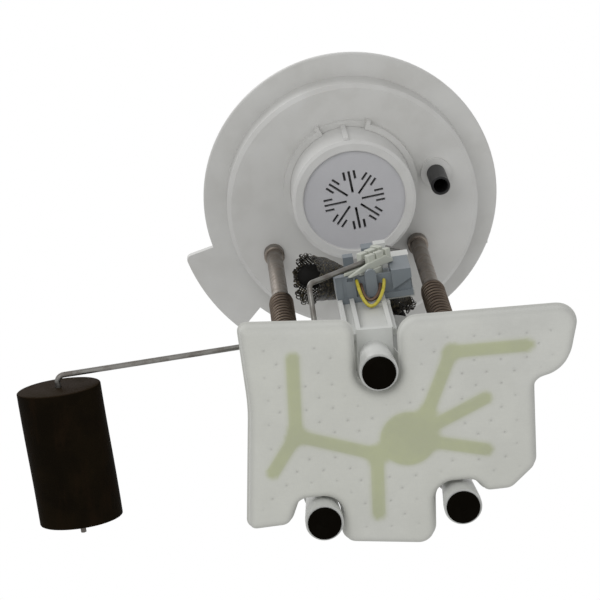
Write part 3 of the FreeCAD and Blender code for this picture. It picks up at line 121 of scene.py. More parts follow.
# Its two skins: rings inset from the edge, bevel below, fall above, grid, slow waves and the rim between them
BEVEL_RINGS = (0.25, 0.6, 1.1, 1.8, 2.7, 3.7)
BEVEL_WIDTH = 3.2
BEVEL_DROP = 3.2
TOP_FALL = 4.6
TOP_FALL_WIDTH = 16.0
BAG_CELL = 1.15
BAG_WAVE = 0.16
RIM_SHARES = (0.08, 0.2, 0.34, 0.44, 0.5, 0.56, 0.66, 0.8, 0.92)
RIM_RIDGE = 0.7
RIM_RIDGE_WIDTH = 0.06
RIM_SWELL = 0.3

# Its spot welds: how unevenly they lie, their room from the edge and the ribs, the rings of points round
# them, and how wide each pit and the pull round it are
WELD_STRAY = 0.35
WELD_EDGE_ROOM = 5.0
WELD_RIB_ROOM = 1.6
WELD_RINGS = (0.35, 0.8)
WELD_SPOKES = 7
PIT_WIDTH = 0.52
PULL_WIDTH = 2.6

# The skeleton inside it: a disc and ribs, as pairs of ends, and how sharply and how far they show through
RIB_SWELL = 0.22
RIB_BLUR = 0.2
HALO_WIDTH = 1.3
RAIL_STEP = 0.9
RAIL_OFFSETS = (-0.3, 0.3)
SKELETON_DISC_R = 12.4
SKELETON_HALF = 2.85
RIB_FILLET = 1.1
SKELETON_DISC_AT = (7.0, 46.4)
SKELETON_RIBS = [
    ((-41.3, 5.4), (-42.0, 41.0)), ((-42.0, 41.0), (-53.2, 57.4)), ((-42.0, 41.0), (-7.2, 52.5)),
    ((-7.2, 52.5), (7.0, 46.4)), ((-7.2, 52.5), (-7.9, 80.8)), ((7.0, 46.4), (15.6, 35.2)),
    ((15.6, 35.2), (27.4, 7.9)), ((27.4, 7.9), (60.6, 7.4)), ((7.0, 46.4), (41.4, 30.3)),
    ((7.0, 46.4), (41.0, 54.3)),
]

# Fuel hose: the model's route, but for its upper leg, which lies hidden behind the sleeve's mouth
HOSE_R = 5.5
HOSE_POINTS = 150
HOSE_AROUND = 32
HOSE_ROUTE = [
    (13.5, 42.5, -109.0), (13.5, 21.0, -109.0), (-19.5, 6.6, -109.5), (-28.0, 6.0, -105.5),
    (-29.5, 10.0, -93.0), (-28.0, 15.0, -80.0), (-19.0, 18.0, -71.0), (-5.0, 21.0, -68.6), (6.0, 24.5, -65.2),
    (12.8, 28.0, -57.0), (15.6, 29.8, -46.0), (16.0, 30.0, -33.0), (16.0, 30.0, -20.2),
]

# Braided sleeve: its own line from the frayed right end to the wide open left end, its radius at shares of
# that line, and the ripple in it
SLEEVE_POINTS = 96
SLEEVE_RIPPLE = 0.22 * MM
SLEEVE_RIPPLE_PACE = 17.0
SLEEVE_ROUTE = [
    (13.5, 24.5, -109.0), (13.0, 19.5, -109.0), (2.0, 15.6, -109.0), (-9.0, 11.2, -109.4),
    (-18.0, 7.9, -110.4), (-24.5, 5.6, -112.0), (-29.0, 4.7, -114.6),
]
SLEEVE_RADIUS = ((0.0, 7.0), (0.45, 7.2), (0.66, 8.2), (0.84, 10.0), (1.0, 10.9))

# Its strands: how far they wind, how often and how far they weave in and out, their thickness, how unevenly
# they are spaced, by how many points their two ends may fall short, and the curls at their ends
WINDING = 5.2
WEAVES = 11.0
STRAND_LIFT = 0.14 * MM
STRAND_THICK = 0.22 * MM
STRAND_STRAY = 0.012
SHORT_BY = (4, 5)
CURL_POINTS = 11
CURL_SIZE = (0.45, 1.0)
CURL_TURN = (3.2, 6.6)
CURL_LEAN = (0.5, 1.0)
CURL_STRAY = 0.7
CURL_TIGHTENS = 0.25
CURL_STRETCH = 1.3

# Wiper rocker, in its own axes: along the wire, through the sender, across the wire
PIVOT_Z = -145.0
ROCKER_SLOPE = math.atan2(22.0, 29.3)
ROCKER_PLATE = (-4.6, 10.7)
ROCKER_DEPTH = (-10.8, -9.2)
ROCKER_WING = [(-17.0, -1.0), (-4.2, -3.6), (-4.2, 2.2), (-14.5, 1.2)]
ROCKER_FLANGE = [
    (-16.8, -9.9), (-4.6, -12.6), (6.2, -13.2), (9.8, -10.6), (9.8, -9.2), (6.2, -9.2), (-4.6, -9.2),
    (-16.8, -9.2),
]
ROCKER_FLANGE_SPAN = (-4.9, -3.4)
ROCKER_HALF = 3.6
ROCKER_FRONT = -15.6
ROCKER_EDGE = 0.3 * MM
ROCKER_CLAWS = [(-3.9, 0.4, 4.4), (1.3, 5.6, 5.0), (6.9, 9.8, 7.0)]
JAW_REACH = 3.8
JAW_ROOT = -9.6
PAD_DEPTH = (-11.7, -9.5)
PAD_HALF = 3.2
RIB_ALONG = (-3.5, 9.4)
RIB_DEPTH = (-11.6, -10.0)
RIB_ACROSS = (-3.3, -2.2)
WIRE_ROOM = 1.27
HUB_AROUND = 48
HUB_R = 5.4
HUB_BORE = 2.27
HUB_SPAN = (-9.25, -2.0)

# Rubber feet: the face's rings as radius and rise, then the side, its lip over the boss and the stem
FOOT_AROUND = 64
FOOT_FACE = ((0.9, 0.10), (1.4, 0.30), (1.9, 0.10), (4.2, 0.0))
FOOT_EDGE = 0.8
FOOT_SIDE = 1.7
FOOT_LIP_R = 7.4
FOOT_LIP_TOP = -227.8
FOOT_LIP_TAPER = 0.15
FOOT_STEM_R = 4.4

# Float: its half length, half width and half height, its rounded edge, its hole and its points
FLOAT_HALF = (32, 18.75, 11.4)
FLOAT_EDGE = 0.8 * MM
FLOAT_HOLE_R = 1.45 * MM
FLOAT_AROUND = 160
FLOAT_RINGS = 46
CUT_END_SHARE = 0.985

# Sender leads, in the sender's own axes before it is turned
LEAD_R = 0.8
YELLOW_ROUTE = [
    (-7.4, -6.2, -155.0), (-7.4, -5.8, -158.6), (-6.6, -1.5, -163.2), (-4.2, 2.6, -166.2),
    (-1.5, 2.9, -166.9), (2.0, 0.0, -165.2), (4.6, -4.2, -160.4), (4.9, -4.9, -155.0),
]
BROWN_ROUTE = [
    (-5.8, -4.2, -155.0), (-5.8, -3.9, -158.4), (-5.0, -0.4, -161.6), (-2.8, 1.4, -162.9),
    (0.0, 0.6, -162.6), (2.5, -2.1, -159.9), (3.0, -3.2, -155.0),
]
LEADS = {"yellow": (YELLOW_ROUTE, (0.52, 0.44, 0.035)), "brown": (BROWN_ROUTE, (0.10, 0.05, 0.025))}
LEAD_POINTS = 60
LEAD_AROUND = 18

# Lamps: metres from the camera or in the frame, what they point at, their sizes and shares of the key light
LAMP_TARGET = (0, 0.03, -0.12)
KEY_UP = KEY_LEFT = 0.45
KEY_SIZE = 1.1
FILL_DOWN = 0.5
FILL_RIGHT = 0.7
FILL_SIZE = 1.2
FILL_SHARE = 0.35
TOP_LAMP_AT = (-0.8, -0.9, 1.1)
TOP_LAMP_TARGET = (0, 0, -0.1)
TOP_LAMP_SIZE = 1.0
TOP_LAMP_SHARE = 1.6
FLOOR_GAP = 0.5 * MM
FLOOR_GLOW = 0.14


# Settings that a user would change

def colour_setting(name, description, default):
    return bpy.props.FloatVectorProperty(
        name=name, description=description, subtype="COLOR", size=3, default=default, min=0, max=1)


def length_setting(name, description, default, low, high):
    """A length whose default and limits are given in millimetres."""
    return bpy.props.FloatProperty(
        name=name, description=description, default=default * MM, min=low * MM, max=high * MM, unit="LENGTH")


class PlasticSettings(bpy.types.PropertyGroup):
    cover: colour_setting("Cover", "Colour of the cover and the vent valve", (0.60, 0.60, 0.585))
    carrier: colour_setting("Carrier", "Colour of the carrier frame", (0.60, 0.61, 0.59))
    lid: colour_setting("Vent lid", "Colour of the slotted lid of the vent valve", (0.52, 0.52, 0.54))
    sender: colour_setting("Sender", "Colour of the level sender's body", (0.19, 0.215, 0.235))
    rocker: colour_setting("Rocker", "Colour of the wiper rocker", (0.50, 0.52, 0.46))


class SteelSettings(bpy.types.PropertyGroup):
    rod: colour_setting("Rods", "Colour of the guide rods", (0.21, 0.185, 0.16))
    spring: colour_setting("Springs", "Colour of the spring wire", (0.100, 0.078, 0.060))
    wire: length_setting("Spring wire", "Thickness of the spring wire", 1.45, 0.5, 2.4)
    turns: bpy.props.FloatProperty(
        name="Turns", description="Free turns of each spring", default=13.3, min=3, max=18)


class StrainerSettings(bpy.types.PropertyGroup):
    felt: colour_setting("Felt", "Colour of the strainer's felt", (0.62, 0.625, 0.59))
    skeleton: colour_setting("Skeleton", "Colour of the felt over the inner skeleton", (0.44, 0.465, 0.30))
    pitch: length_setting("Weld pitch", "Distance along a row between two spot welds", 11.4, 4, 30)
    depth: length_setting("Weld depth", "How deep each spot weld pulls the felt in", 0.45, 0, 1.2)


class FloatSettings(bpy.types.PropertyGroup):
    foam: colour_setting("Foam", "Colour of the float's foam", (0.0060, 0.0040, 0.0018))
    unevenness: length_setting("Unevenness", "How far the moulded foam strays from its true form", 0.07, 0, 1)


class SleeveSettings(bpy.types.PropertyGroup):
    strands: bpy.props.IntProperty(
        name="Strands", description="Braid strands that wind each way", default=40, min=8, max=60)
    width: length_setting("Strand width", "Width of one flat strand", 0.62, 0.2, 2)
    curl: length_setting("Curl", "Largest radius of the curls at its frayed ends", 1.15, 0, 3)


class StageSettings(bpy.types.PropertyGroup):
    key: bpy.props.FloatProperty(
        name="Key light", description="Power of the soft lamp by the camera", default=6.0, min=0,
        unit="POWER")
    fill: bpy.props.FloatProperty(
        name="World light", description="Strength of the light from all round", default=0.52, min=0)
    floor: bpy.props.FloatProperty(
        name="Floor size", description="Width of the floor", default=6.0, min=1, unit="LENGTH")


# Shader expressions

def arithmetic(operation, swapped=False):
    """A method that feeds a value and another one, in that order or swapped, to a maths node."""
    def combine(value, other):
        pair = (other, value) if swapped else (value, other)
        return value.shader.node("ShaderNodeMath", {"operation": operation}, dict(enumerate(pair)))
    return combine


class Value:
    """A shader output that can be added, subtracted, multiplied and divided with others and with numbers."""

    def __init__(self, shader, socket):
        self.shader = shader
        self.socket = socket

    __add__ = __radd__ = arithmetic("ADD")
    __mul__ = __rmul__ = arithmetic("MULTIPLY")
    __sub__ = arithmetic("SUBTRACT")
    __rsub__ = arithmetic("SUBTRACT", swapped=True)
    __truediv__ = arithmetic("DIVIDE")

    def ramp(self, low, high):
        """0 below low, 1 above high, smooth between."""
        return self.shader.node(
            "ShaderNodeMapRange", {"interpolation_type": "SMOOTHSTEP"},
            {"Value": self, "From Min": low, "From Max": high})


class Shader:
    """A material whose nodes all come from one method."""

    def __init__(self, name, constants=None):
        self.material = bpy.data.materials.new(name)
        self.material.use_nodes = True
        self.tree = self.material.node_tree
        self.surface = self.tree.nodes["Principled BSDF"]
        for socket, value in (constants or {}).items():
            self.surface.inputs[socket].default_value = value

    def node(self, kind, settings=None, inputs=None, output=0):
        made = self.tree.nodes.new(kind)
        for key, value in (settings or {}).items():
            setattr(made, key, value)
        for key, value in (inputs or {}).items():
            self.feed(made.inputs[key], value)
        return Value(self, made.outputs[output])

    def feed(self, socket, value):
        if isinstance(value, Value):
            self.tree.links.new(value.socket, socket)
        elif socket.type == "RGBA":
            socket.default_value = tuple(value)[:3] + (1.0,)
        else:
            socket.default_value = value

    def coordinates(self, stretch=(1, 1, 1)):
        """Object coordinates, scaled along each axis."""
        place = self.node("ShaderNodeTexCoord", output="Object")
        return self.node("ShaderNodeVectorMath", {"operation": "MULTIPLY"}, {0: place, 1: stretch})

    def noise(self, place, scale, detail=3.0, roughness=0.55):
        inputs = {"Vector": place, "Scale": scale, "Detail": detail, "Roughness": roughness}
        return self.node("ShaderNodeTexNoise", inputs=inputs)

    def cells(self, place, scale):
        return self.node("ShaderNodeTexVoronoi", inputs={"Vector": place, "Scale": scale}, output="Distance")

    def attribute(self, name):
        return self.node("ShaderNodeAttribute", {"attribute_name": name}, output="Fac")

    def blend(self, factor, low, high):
        return self.node(
            "ShaderNodeMix", {"data_type": "RGBA"}, {"Factor": factor, 6: low, 7: high}, output=2)

    def bump(self, height, distance, strength=1.0, normal=None):
        inputs = {"Height": height, "Distance": distance, "Strength": strength}
        if normal is not None:
            inputs["Normal"] = normal
        return self.node("ShaderNodeBump", inputs=inputs, output="Normal")

    def finish(self, colour=None, roughness=None, normal=None, metallic=None, coat=None):
        for key, value in (("Base Color", colour), ("Roughness", roughness), ("Normal", normal),
                           ("Metallic", metallic), ("Coat Weight", coat)):
            if value is not None:
                self.feed(self.surface.inputs[key], value)
        return self.material


def shade(colour, share):
    return tuple(min(1.0, c * share) for c in colour)


def tinted(colour, tint, share):
    return tuple(c * (1 - share) + t * share for c, t in zip(colour, tint))


# Materials

def moulded_plastic(name, colour, roughness=0.42, mottle=0.10, warm=0.5):
    """Natural moulded plastic: broad flow clouds, warmer in their dark parts, fine grain and faint scuffs."""
    s = Shader(name, {"Specular IOR Level": 0.42})
    place = s.coordinates()
    cloud = s.noise(place, 28.0, 2.0).ramp(0.32, 0.68)
    flow = s.noise(s.coordinates((1.0, 1.0, 0.25)), 75.0, 3.0).ramp(0.40, 0.62)
    grain = s.noise(place, 2600.0, 2.0)
    scuff = s.noise(s.coordinates((1.0, 5.0, 1.0)), 230.0, 4.0, 0.7).ramp(0.62, 0.74)
    low = tinted(shade(colour, 1 - mottle), (0.62, 0.55, 0.42), 0.10 * warm)
    tone = s.blend(cloud, low, colour)
    tone = s.blend(flow * 0.35, tone, shade(colour, 1.04))
    tone = s.blend(scuff * 0.25, tone, shade(colour, 0.86))
    rough = cloud * 0.06 + grain * 0.10 + scuff * 0.12 + (roughness - 0.08)
    normal = s.bump(grain, 0.05 * MM, 0.35)
    return s.finish(tone, rough, s.bump(cloud, 0.4 * MM, 0.15, normal))


def drawn_steel(name, colour, stretch=(900.0, 900.0, 24.0), roughness=0.36):
    """Steel with fine streaks along its length, darker oxide clouds and small pits."""
    s = Shader(name, {"Specular IOR Level": 0.5})
    streak = s.noise(s.coordinates(stretch), 1.0, 3.0)
    place = s.coordinates()
    oxide = s.noise(place, 160.0, 5.0, 0.65).ramp(0.42, 0.66)
    pits = s.cells(place, 900.0).ramp(0.0, 0.22)
    tone = s.blend(streak, shade(colour, 0.78), shade(colour, 1.25))
    tone = s.blend(oxide * 0.55, tone, tinted(shade(colour, 0.62), (0.09, 0.05, 0.03), 0.45))
    rough = oxide * 0.22 + streak * 0.12 + (roughness - 0.05)
    normal = s.bump(streak, 0.03 * MM, 0.35)
    return s.finish(tone, rough, s.bump(pits, 0.04 * MM, 0.3, normal), metallic=1.0 - oxide * 0.35)


def bright_metal(name, colour, roughness=0.28):
    """Plated or brushed metal for small contacts and cans."""
    s = Shader(name)
    place = s.coordinates()
    brush = s.noise(s.coordinates((300.0, 300.0, 30.0)), 1.0, 3.0)
    tarnish = s.noise(place, 240.0, 4.0).ramp(0.45, 0.7)
    tone = s.blend(brush * 0.5, shade(colour, 0.85), colour)
    tone = s.blend(tarnish * 0.4, tone, shade(colour, 0.6))
    rough = tarnish * 0.2 + brush * 0.08 + roughness
    return s.finish(tone, rough, s.bump(brush, 0.02 * MM, 0.25), metallic=1.0)


def black_rubber(name, colour=(0.012, 0.0115, 0.011), roughness=0.62, dust=0.30, shine=0.35):
    """Dark rubber with a fine matt grain and pale dust in patches."""
    s = Shader(name, {"Specular IOR Level": shine})
    place = s.coordinates()
    grain = s.noise(place, 1800.0, 3.0)
    patch = s.noise(place, 95.0, 5.0, 0.65).ramp(0.48, 0.74)
    tone = s.blend(patch * dust, colour, (0.055, 0.05, 0.045))
    return s.finish(tone, grain * 0.14 + patch * 0.12 + (roughness - 0.08), s.bump(grain, 0.06 * MM, 0.5))


def felt_material(name, settings):
    """Needled felt: short crossed fibres, darker welds, painted shade over the rounded edge and the side
    wall, and the skeleton showing through green.
    """
    s = Shader(name, {"Specular IOR Level": 0.22, "Sheen Weight": 0.25, "Sheen Roughness": 0.6})
    place = s.coordinates()
    fibre_a = s.noise(s.coordinates((1.0, 0.22, 1.0)), 1900.0, 3.0, 0.6)
    fibre_b = s.noise(s.coordinates((0.22, 1.0, 1.0)), 1700.0, 3.0, 0.6)
    fibres = (fibre_a + fibre_b) * 0.5
    cloud = s.noise(place, 42.0, 4.0, 0.6).ramp(0.36, 0.66)
    patch = s.noise(place, 9.0, 2.0).ramp(0.35, 0.65)
    felt, skeleton = settings.felt, settings.skeleton
    tone = s.blend(cloud, shade(felt, 0.94), shade(felt, 1.02))
    tone = s.blend(patch * 0.5, tone, tinted(felt, (0.60, 0.61, 0.50), 0.35))
    tone = s.blend(s.attribute("halo") * 0.5, tone, tinted(skeleton, felt, 0.45))
    through = s.blend(cloud, shade(skeleton, 0.96), tinted(skeleton, (0.52, 0.56, 0.28), 0.2))
    tone = s.blend(s.attribute("skeleton") * 0.94, tone, through)
    tone = s.blend(s.attribute("weld") * 0.42, tone, shade(felt, 0.42))
    # Painted shade: the edge mark darkens the rounded edge of each skin and the whole side wall.
    tone = s.blend(s.attribute("edge") * 0.45, tone, shade(felt, 0.80))
    tone = s.blend(fibres.ramp(0.36, 0.64) * 0.10, tone, shade(felt, 0.72))
    rough = fibres * 0.12 + 0.80
    return s.finish(tone, rough, s.bump(fibres, 0.10 * MM, 0.45))


def foam_material(name, colour):
    """Moulded closed-cell foam: dark brown, mottled, with open pores at its skin and paler cut ends."""
    s = Shader(name, {"Specular IOR Level": 0.02})
    place = s.coordinates()
    pores = s.cells(place, 1300.0)
    deep = s.cells(place, 420.0).ramp(0.05, 0.30)
    cloud = s.noise(place, 55.0, 5.0, 0.65).ramp(0.38, 0.66)
    pale_patches = s.noise(s.coordinates((1.0, 0.3, 1.0)), 130.0, 4.0, 0.7).ramp(0.50, 0.70)
    tone = s.blend(cloud, shade(colour, 0.7), shade(colour, 1.25))
    tone = s.blend(pale_patches * 0.35, tone, tinted(shade(colour, 1.6), (0.030, 0.014, 0.008), 0.3))
    end = s.attribute("cut_end")
    fresh = s.blend(cloud, tinted(shade(colour, 2.3), (0.036, 0.022, 0.016), 0.3), shade(colour, 2.9))
    tone = s.blend(end * 0.9, tone, fresh)
    tone = s.blend((1 - pores.ramp(0.02, 0.30)) * 0.5, tone, shade(colour, 0.25))
    normal = s.bump(pores, 0.10 * MM, 0.5)
    return s.finish(tone, pale_patches * 0.10 + cloud * 0.10 + 0.58, s.bump(deep, 0.18 * MM, 0.5, normal))


def lead_material(name, colour):
    """Thin insulated wire: glossy plastic with faint dirt."""
    s = Shader(name, {"Coat Roughness": 0.3})
    place = s.coordinates()
    dirt = s.noise(place, 420.0, 4.0, 0.6).ramp(0.45, 0.72)
    tone = s.blend(dirt * 0.6, colour, shade(colour, 0.45))
    return s.finish(tone, dirt * 0.25 + 0.34, s.bump(s.noise(place, 1500.0), 0.03 * MM, 0.3))


def strand_material(name):
    """Black plastic braid strands, slightly glossy, with pale yellowish patches at random that are painted
    highlights.
    """
    s = Shader(name, {"Specular IOR Level": 0.45})
    place = s.coordinates()
    # Painted highlight: pale yellowish patches on the black strands stand in for the glints on the weave.
    pale_patches = s.noise(place, 900.0, 3.0, 0.6).ramp(0.48, 0.66)
    tone = s.blend(pale_patches, (0.006, 0.005, 0.0035), (0.085, 0.070, 0.036))
    return s.finish(tone, pale_patches * 0.2 + 0.42, s.bump(s.noise(place, 2200.0), 0.04 * MM, 0.4))


# Meshes from arrays

def solid_mesh(name, points, quads, triangles=None):
    """A mesh from arrays of points, quads and triangles, turned inside out if its volume is negative."""
    triangles = np.zeros((0, 3), int) if triangles is None else triangles
    fan = np.vstack([quads[:, [0, 1, 2]], quads[:, [0, 2, 3]], triangles]) if len(quads) else triangles
    a, b, c = (points[fan[:, k]] for k in range(3))
    if np.einsum("ij,ij->i", a, np.cross(b, c)).sum() < 0:
        quads = quads[:, ::-1]
        triangles = triangles[:, ::-1]
    mesh = bpy.data.meshes.new(name)
    mesh.vertices.add(len(points))
    mesh.vertices.foreach_set("co", np.ascontiguousarray(points, np.float32).ravel())
    loops = np.concatenate([quads.ravel(), triangles.ravel()]).astype(np.int32)
    sizes = np.concatenate([np.full(len(quads), 4), np.full(len(triangles), 3)])
    mesh.loops.add(len(loops))
    mesh.loops.foreach_set("vertex_index", loops)
    mesh.polygons.add(len(sizes))
    mesh.polygons.foreach_set("loop_start", np.concatenate([[0], np.cumsum(sizes)[:-1]]).astype(np.int32))
    mesh.update(calc_edges=True)
    mesh.validate()
    mesh.shade_smooth()
    mesh.set_sharp_from_angle(angle=math.radians(38))
    return mesh


def place_piece(name, mesh, material, body, slot, *nodes):
    piece = bpy.data.objects.new(name, mesh)
    bpy.context.scene.collection.objects.link(piece)
    piece.data.materials.append(material)
    if body:
        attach(piece, body)
    if nodes:
        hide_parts(*nodes)
    return piece


def unit(vectors):
    return vectors / np.maximum(np.linalg.norm(vectors, axis=-1, keepdims=True), 1e-12)


def circle(count):
    """Angles of evenly spaced points round a circle."""
    return 2 * np.pi * np.arange(count) / count


def spokes(angle):
    """Unit vectors in a plane at the given angles."""
    return np.stack([np.cos(angle), np.sin(angle)], axis=-1)


def joined(parts):
    """Several parts as one. Each part is its points and then one or more arrays of faces."""
    starts = np.cumsum([0] + [len(part[0]) for part in parts])
    kinds = list(zip(*parts))
    faces = [np.vstack([rows + start for rows, start in zip(kind, starts)]) for kind in kinds[1:]]
    return np.vstack(kinds[0]), *faces


def ring_faces(rings, around):
    """Quads between successive rings of points, closed around."""
    i, j = np.meshgrid(np.arange(rings - 1), np.arange(around), indexing="ij")
    k = (j + 1) % around
    quads = np.stack([i * around + j, (i + 1) * around + j, (i + 1) * around + k, i * around + k], axis=-1)
    return quads.reshape(-1, 4)


def capped(rings):
    """Points and faces of a stack of rings, with a pole at the middle of its first and last ring."""
    count, around = rings.shape[:2]
    points = np.vstack([rings.reshape(-1, 3), rings[0].mean(axis=0), rings[-1].mean(axis=0)])
    quads = ring_faces(count, around)
    j = np.arange(around)
    k = (j + 1) % around
    first = np.full(around, count * around)
    low = np.stack([first, j, k], axis=-1)
    last = (count - 1) * around
    high = np.stack([first + 1, last + k, last + j], axis=-1)
    return points, quads, np.vstack([low, high])


def sweep(centres, radii, around, reference):
    """Rings of points along a path: ring k lies square to the path at centre k, and its first point is on the
    side that the path's direction crossed with the reference direction gives."""
    along = unit(np.gradient(centres, axis=0))
    side = unit(np.cross(along, np.asarray(reference, float)))
    other = np.cross(side, along)
    angle = circle(around)
    spoke = np.cos(angle)[None, :, None] * side[:, None] + np.sin(angle)[None, :, None] * other[:, None]
    return centres[:, None] + np.broadcast_to(radii, len(centres))[:, None, None] * spoke


def smooth_route(name, points):
    """Points in metres along the NURBS line that has the given millimetre points as its control points."""
    curve = bpy.data.curves.new(name, "CURVE")
    curve.dimensions = "3D"
    curve.resolution_u = 12
    spline = curve.splines.new("NURBS")
    spline.points.add(len(points) - 1)
    weighted = np.c_[np.asarray(points, float) * MM, np.ones(len(points))]
    spline.points.foreach_set("co", weighted.ravel())
    spline.order_u = 3
    spline.use_endpoint_u = True
    carrier = bpy.data.objects.new(name, curve)
    line = bpy.data.meshes.new_from_object(carrier)
    route = np.empty(len(line.vertices) * 3)
    line.vertices.foreach_get("co", route)
    bpy.data.objects.remove(carrier)
    bpy.data.curves.remove(curve)
    bpy.data.meshes.remove(line)
    return route.reshape(-1, 3)


def line_run(line):
    """How far each point of a line lies from its first point, along the line."""
    return np.concatenate([[0], np.cumsum(np.linalg.norm(np.diff(line, axis=0), axis=1))])


def even(line, count, endpoint=True):
    """The same line with evenly spaced points. Without endpoint, a closed line doesn't repeat its first."""
    run = line_run(line)
    at = np.linspace(0, run[-1], count, endpoint=endpoint)
    return np.stack([np.interp(at, run, axis) for axis in line.T], axis=-1)


def sender_turned(points):
    """Points in the sender's own axes, turned to its real direction."""
    c, s = math.cos(YAW), math.sin(YAW)
    return np.asarray(points, float) @ np.array([[c, s, 0], [-s, c, 0], [0, 0, 1]])


def dress(material, *nodes):
    for node in nodes:
        data = frame["nodes"][node].data
        data.materials.clear()
        data.materials.append(material)


# Springs

def spring_rings(radius, wire, low, high, turns, centre):
    """A helix that climbs slowly at its ends: its pace grows with the turns from the nearer end, from a least
    pace up to the full one. Its height is the whole rise times the share of that pace summed so far, and its
    section is a circle square to the wire."""
    n = int(turns * SPRING_STEPS)
    turn = np.linspace(0, turns, n)
    pace = np.clip(np.minimum(turn, turns - turn) / SPRING_END_TURNS, SPRING_END_PACE, 1.0)
    rise = np.cumsum(pace)
    rise = (rise - rise[0]) / (rise[-1] - rise[0])
    z = low + wire / 2 + (high - low - wire) * rise
    angle = 2 * np.pi * turn
    line = np.stack([centre[0] + radius * np.cos(angle), centre[1] + radius * np.sin(angle), z], axis=-1)
    radii = np.full(n, wire / 2)
    radii[[0, -1]] *= SPRING_TIP
    return sweep(line, radii, SPRING_AROUND, (0, 0, 1))


# Strainer bag

def rounded_corners(corners):
    """The outline with each corner replaced by points along its tangent arc, then spaced evenly."""
    line = []
    count = len(corners)
    for i, (x, y, r) in enumerate(corners):
        p = np.array([x, y])
        back = unit(np.array(corners[i - 1][:2]) - p)
        ahead = unit(np.array(corners[(i + 1) % count][:2]) - p)
        half = math.acos(np.clip(back @ ahead, -1, 1)) / 2
        middle = unit(back + ahead)
        centre = p + middle * r / math.sin(half)
        a, b = (p + d * r / math.tan(half) - centre for d in (back, ahead))
        start = math.atan2(a[1], a[0])
        sweep_angle = (math.atan2(b[1], b[0]) - start + math.pi) % (2 * math.pi) - math.pi
        steps = max(3, int(abs(sweep_angle) * r / BAG_SPACING))
        line.append(centre + r * spokes(start + sweep_angle * np.linspace(0, 1, steps)))
    closed = np.vstack(line + [line[0][:1]])
    return even(closed, int(line_run(closed)[-1] / BAG_SPACING), endpoint=False)


def edge_distance(points, a, b):
    """Distance of each point from the nearest of the given segments."""
    d = b - a
    t = ((points[:, None] - a) * d).sum(-1) / np.maximum((d * d).sum(-1), 1e-12)
    nearest = a + np.clip(t, 0, 1)[..., None] * d
    return np.linalg.norm(points[:, None] - nearest, axis=-1).min(axis=1)


def rim_distance(points, outline):
    """Distance of each point from the closed outline."""
    return edge_distance(points, outline, np.roll(outline, -1, axis=0))


def point_distance(points, others):
    """Distance of each point from the nearest of the others."""
    return np.linalg.norm(points[:, None] - others, axis=-1).min(axis=1)


def inward_sides(outline):
    """For each point of the closed outline, the direction across its line that leads inside."""
    along = unit(np.roll(outline, -1, axis=0) - np.roll(outline, 1, axis=0))
    inward = np.stack([-along[:, 1], along[:, 0]], axis=-1)
    return inward if inside(outline[:1] + inward[:1] * 0.5, outline)[0] else -inward


def inside(points, outline):
    """True where a ray along +X crosses the outline an odd number of times."""
    a = outline
    b = np.roll(outline, -1, axis=0)
    x, y = points[:, :1], points[:, 1:]
    straddles = (a[:, 1] > y) != (b[:, 1] > y)
    with np.errstate(divide="ignore", invalid="ignore"):
        cross = a[:, 0] + (y - a[:, 1]) / (b[:, 1] - a[:, 1]) * (b[:, 0] - a[:, 0])
    return (straddles & (x < cross)).sum(axis=1) % 2 == 1


def weld_places(outline, pitch):
    """Staggered rows of spot welds that keep clear of the bag's edge and of the skeleton."""
    low, high = outline.min(axis=0), outline.max(axis=0)
    rows = np.arange(low[1], high[1], pitch / 2)
    places = []
    for k, y in enumerate(rows):
        x = np.arange(low[0] + (k % 2) * pitch / 2, high[0], pitch)
        places.append(np.stack([x, np.full(len(x), y)], axis=-1))
    places = np.vstack(places)
    rng = np.random.default_rng(SEED)
    places = places + rng.normal(0, WELD_STRAY, places.shape)
    places = places[inside(places, outline)]
    places = places[rim_distance(places, outline) > WELD_EDGE_ROOM]
    return places[skeleton_distance(places) > WELD_RIB_ROOM]


def skeleton_distance(points):
    """Distance outside the skeleton's ribs and disc, with the corners between them rounded: minus k times the
    logarithm of the sum of the exponentials of minus each distance over k."""
    ribs = np.array(SKELETON_RIBS)
    parts = [edge_distance(points, a[None], b[None]) - SKELETON_HALF for a, b in ribs]
    parts.append(np.linalg.norm(points - np.array(SKELETON_DISC_AT), axis=1) - SKELETON_DISC_R)
    parts = np.minimum(np.array(parts), 30.0)
    return -RIB_FILLET * np.log(np.exp(-parts / RIB_FILLET).sum(axis=0))


def rib_rails():
    """Rows of points just inside and just outside the long edges of each rib and of the disc."""
    rails = []
    for a, b in np.array(SKELETON_RIBS):
        length = np.linalg.norm(b - a)
        along = (b - a) / length
        across = np.array([-along[1], along[0]])
        steps = a + np.arange(0, length, RAIL_STEP)[:, None] * along
        for offset in RAIL_OFFSETS:
            rails.append(steps + across * (SKELETON_HALF + offset))
            rails.append(steps - across * (SKELETON_HALF + offset))
    disc = spokes(np.linspace(0, 2 * np.pi, 88, endpoint=False))
    for offset in RAIL_OFFSETS:
        rails.append(SKELETON_DISC_AT + (SKELETON_DISC_R + offset) * disc)
    rails = np.vstack(rails)
    return rails[np.abs(skeleton_distance(rails)) < 0.9]


